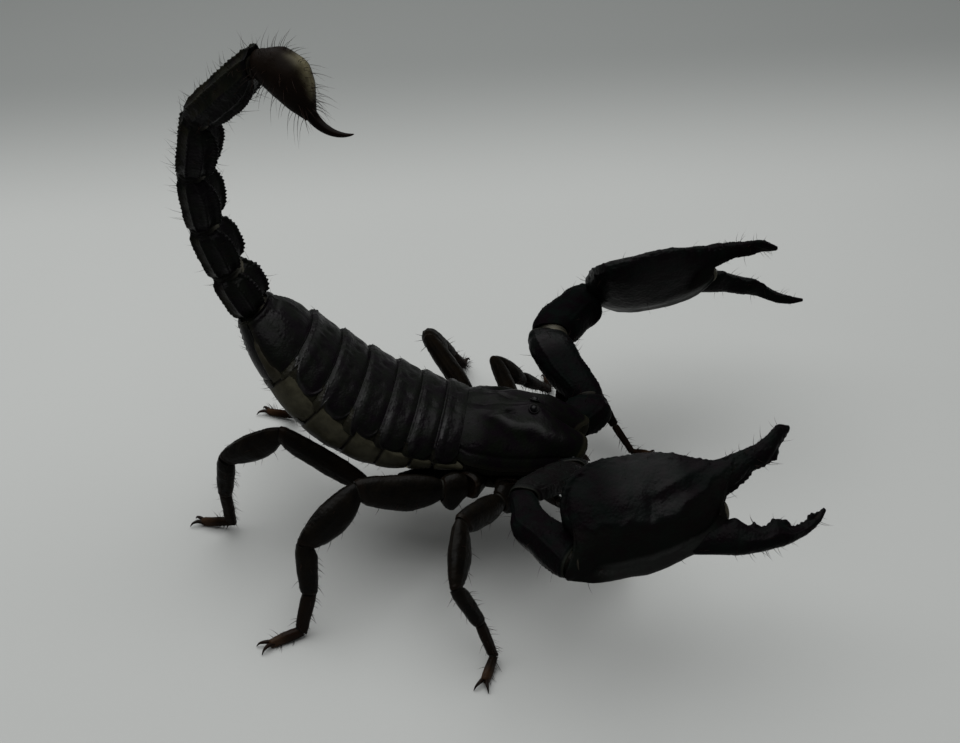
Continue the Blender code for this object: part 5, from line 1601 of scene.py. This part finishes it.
def bristles(group, tiles):
    """All bristles of a group in one mesh, from arrays over bristle, row and side."""
    beds = [entry[1:] for entry in BEDS if entry[0] == group]
    tile = np.concatenate([np.full(len(entry[0]), number) for number, entry in enumerate(beds)])
    root, way, along, length, thick, where = (np.concatenate(column) for column in zip(*beds))
    side = unit(np.cross(way, along + np.array((0.01, 0.02, 0.03))))
    bend = unit(along) * 0.35 - UP * 0.05
    line = moved(root[:, None], (length[:, None] * SHARES - 0.12, way[:, None]),
                 (length[:, None] * SHARES ** 2, bend[:, None]))
    cosine, sine = circle(np.arange(4) / 4)
    radius = (thick[:, None] * (1 - SHARES) ** 0.7)[..., None]
    body = moved(line[:, :, None], (radius * cosine, side[:, None, None]),
                 (radius * sine, np.cross(side, way)[:, None, None])).reshape(len(root), -1, 3)
    tip = moved(root, (length, way), (length, bend))[:, None]
    points = np.concatenate((body, tip), axis=1).reshape(-1, 3)
    height = points[:, 2] + SHIFT[2]
    bent = PAPER_REACH * np.exp(np.minimum(height - PAPER_REACH, 0) / PAPER_REACH)
    points[:, 2] = np.where(height < PAPER_REACH, bent, height) - SHIFT[2]
    k = np.arange(4)
    after = (k + 1) % 4
    ring = np.stack((k, after, 4 + after, 4 + k), axis=-1)
    quads = np.concatenate((ring, ring + 4, ring + 8, [[3, 2, 1, 0]]))
    tris = np.stack((12 + k, 12 + after, np.full(4, 16)), axis=-1)
    first = 17 * np.arange(len(root))[:, None, None]
    share = np.append(np.repeat(SHARES, 4), 1.0)
    part = Part(points, (quads + first).reshape(-1, 4), (tris + first).reshape(-1, 3),
                {"tone": np.tile(share, len(root))})
    made = make("bristles_" + group, part, bristle_brown)
    spot = (np.stack((tile % tiles, tile // tiles), axis=-1) + 0.04 + 0.92 * where) / tiles
    patch = np.append(np.tile(np.stack((cosine, sine), axis=-1), (4, 1)), [[1, 0]], axis=0)
    patch = spot[:, None] + PATCH * (1 - share)[:, None] * patch
    corners = np.empty(len(made.data.loops), np.int32)
    made.data.loops.foreach_get("vertex_index", corners)
    layer = made.data.uv_layers.new(name="OFBake")
    layer.data.foreach_set("uv", patch.reshape(-1, 2)[corners].astype(np.float32).ravel())
    return len(root)


for group, tiles in (("body", 5), ("tail", 3), ("claws", 4), ("legs", 7)):
    print(group, bristles(group, tiles), "bristles")

# %% [markdown]
# ## Studio
# The animal stands on a pale grey sheet of matt paper that runs back and bends up behind it, and
# its colour is darkened there as painted shade. One big soft lamp hangs above. A black glossy
# animal shows mostly what it mirrors, so the lamp's size and place draw the soft bands on its
# plates, helped by painted highlights, and the room is dim.

# %% Floor
paper, tree, where = node_material("matt_paper_sweep")
tooth = add(tree, "TexNoise", {"Vector": where, "Scale": 0.9 / MM, "Detail": 3.0})
cloud = add(tree, "TexNoise", {"Vector": where, "Scale": 0.006 / MM, "Detail": 2.0})
shade = blended(tree, cloud.outputs["Fac"], (0.3, "9fa09f"), (0.7, "a3a4a3"))
# painted shade: the paper's colour darkens towards the back and a little to the left, along a
# slanted line
back = add(tree, "VectorMath", {0: where, 1: (-0.167, 1.0, 0.0)}, operation="DOT_PRODUCT")
grey = add(tree, "MapRange", {"Value": back.outputs["Value"], "From Min": 95 * MM,
                              "From Max": 175 * MM}, interpolation_type="SMOOTHSTEP")
shade = add(tree, "MixRGB", {"Fac": grey.outputs["Result"], "Color1": shade,
                             "Color2": linear("7c7e7d")})
rough = add(tree, "Bump", {"Height": tooth.outputs["Fac"], "Distance": 0.03 * MM, "Strength": 0.4})
sheet = add(tree, "BsdfPrincipled", {"Base Color": shade.outputs["Color"], "Roughness": 0.85,
                                     "Specular IOR Level": 0.2, "Normal": rough.outputs["Normal"]})
add(tree, "OutputMaterial", {"Surface": sheet.outputs["BSDF"]})

SHEET_REACH, SWEEP_START, SWEEP_RADIUS, SWEEP_TOP = 1500, 250.0, 60.0, 75.0
bend = np.linspace(0.05, np.pi / 2, 30)
rise = np.linspace(SWEEP_RADIUS + 3, SWEEP_TOP, 8)
depth = np.concatenate((np.linspace(-SHEET_REACH, SWEEP_START, 30),
                        SWEEP_START + SWEEP_RADIUS * np.sin(bend),
                        0 * rise + SWEEP_START + SWEEP_RADIUS))
lift = np.concatenate((np.zeros(30), SWEEP_RADIUS * (1 - np.cos(bend)), rise))
wide = np.linspace(-SHEET_REACH, SHEET_REACH, 12)
grid = np.stack(np.broadcast_arrays(wide, depth[:, None], lift[:, None]), axis=-1)
index = np.arange(grid[..., 0].size).reshape(grid.shape[:2])
faces = np.stack((index[:-1, :-1], index[:-1, 1:], index[1:, 1:], index[1:, :-1]), axis=-1)
mesh = bpy.data.meshes.new("paper_sweep")
mesh.from_pydata((grid.reshape(-1, 3) * MM).tolist(), [], faces.reshape(-1, 4).tolist())
mesh.shade_smooth()
mesh.materials.append(paper)
floor = bpy.data.objects.new("paper_sweep", mesh)
bpy.context.collection.objects.link(floor)
floor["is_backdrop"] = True
print("the sheet is", 2 * SHEET_REACH, "mm wide")

# %% Lamp and room
LAMP_PLACE, LAMP_TARGET, LAMP_SIZE, LAMP_POWER = (-40, 45, 290), (0, 30, 0), (440, 420), 1.6
light = bpy.data.lights.new("top_softbox", "AREA")
light.shape, light.size, light.size_y = "RECTANGLE", LAMP_SIZE[0] * MM, LAMP_SIZE[1] * MM
light.energy, light.color = LAMP_POWER, linear("fefffe")[:3]
lamp = bpy.data.objects.new("top_softbox", light)
lamp.location = Vector(LAMP_PLACE) * MM
lamp.rotation_mode = "QUATERNION"
lamp.rotation_quaternion = (Vector(LAMP_TARGET) - Vector(LAMP_PLACE)).to_track_quat("-Z", "Y")
bpy.context.collection.objects.link(lamp)
world = bpy.data.worlds.new("dim_room")
world.use_nodes = True
room = world.node_tree.nodes["Background"].inputs
room["Color"].default_value, room["Strength"].default_value = linear("fdfffe"), 0.22
bpy.context.scene.world = world
bpy.context.scene.view_settings.view_transform = "Standard"
print("one soft lamp and a dim room")

# %% [markdown]
# ## Camera
# The camera looks down at about 33 degrees from the animal's right. Its place is given by an
# azimuth, an elevation and a distance from the point it looks at, with a small roll. Its lens is
# about 65 mm on a 36 mm wide sensor.

# %% Camera
AZIMUTH, ELEVATION, ROLL_ANGLE, DISTANCE = 5.9937, 32.8651, -1.4857, 317.996
TARGET = np.array((-3.9803, 67.2964, -17.0153)) + SHIFT
SENSOR, LENS = 36.0, 1.8096    # millimetres, and the focal length in sensor widths
back, right = heading(AZIMUTH - 90, ELEVATION), heading(AZIMUTH)
above = np.cross(back, right)
c, s = turned(ROLL_ANGLE)
right, above = right * c + above * s, above * c - right * s
optics = bpy.data.cameras.new("camera")
optics.sensor_width, optics.sensor_fit, optics.lens = SENSOR, "HORIZONTAL", LENS * SENSOR
optics.clip_start, optics.clip_end = 0.005, 20.0
camera = bpy.data.objects.new("camera", optics)
turn = Matrix(np.stack((right, above, back), axis=1).tolist()).to_4x4()
camera.matrix_world = Matrix.Translation(Vector((TARGET + back * DISTANCE) * MM)) @ turn
bpy.context.collection.objects.link(camera)
bpy.context.scene.camera = camera
print("camera", [round(v / MM, 1) for v in camera.location], "mm")
print(sum(TRIANGLES.values()), "triangles in all")

# %% Finish
low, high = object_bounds()
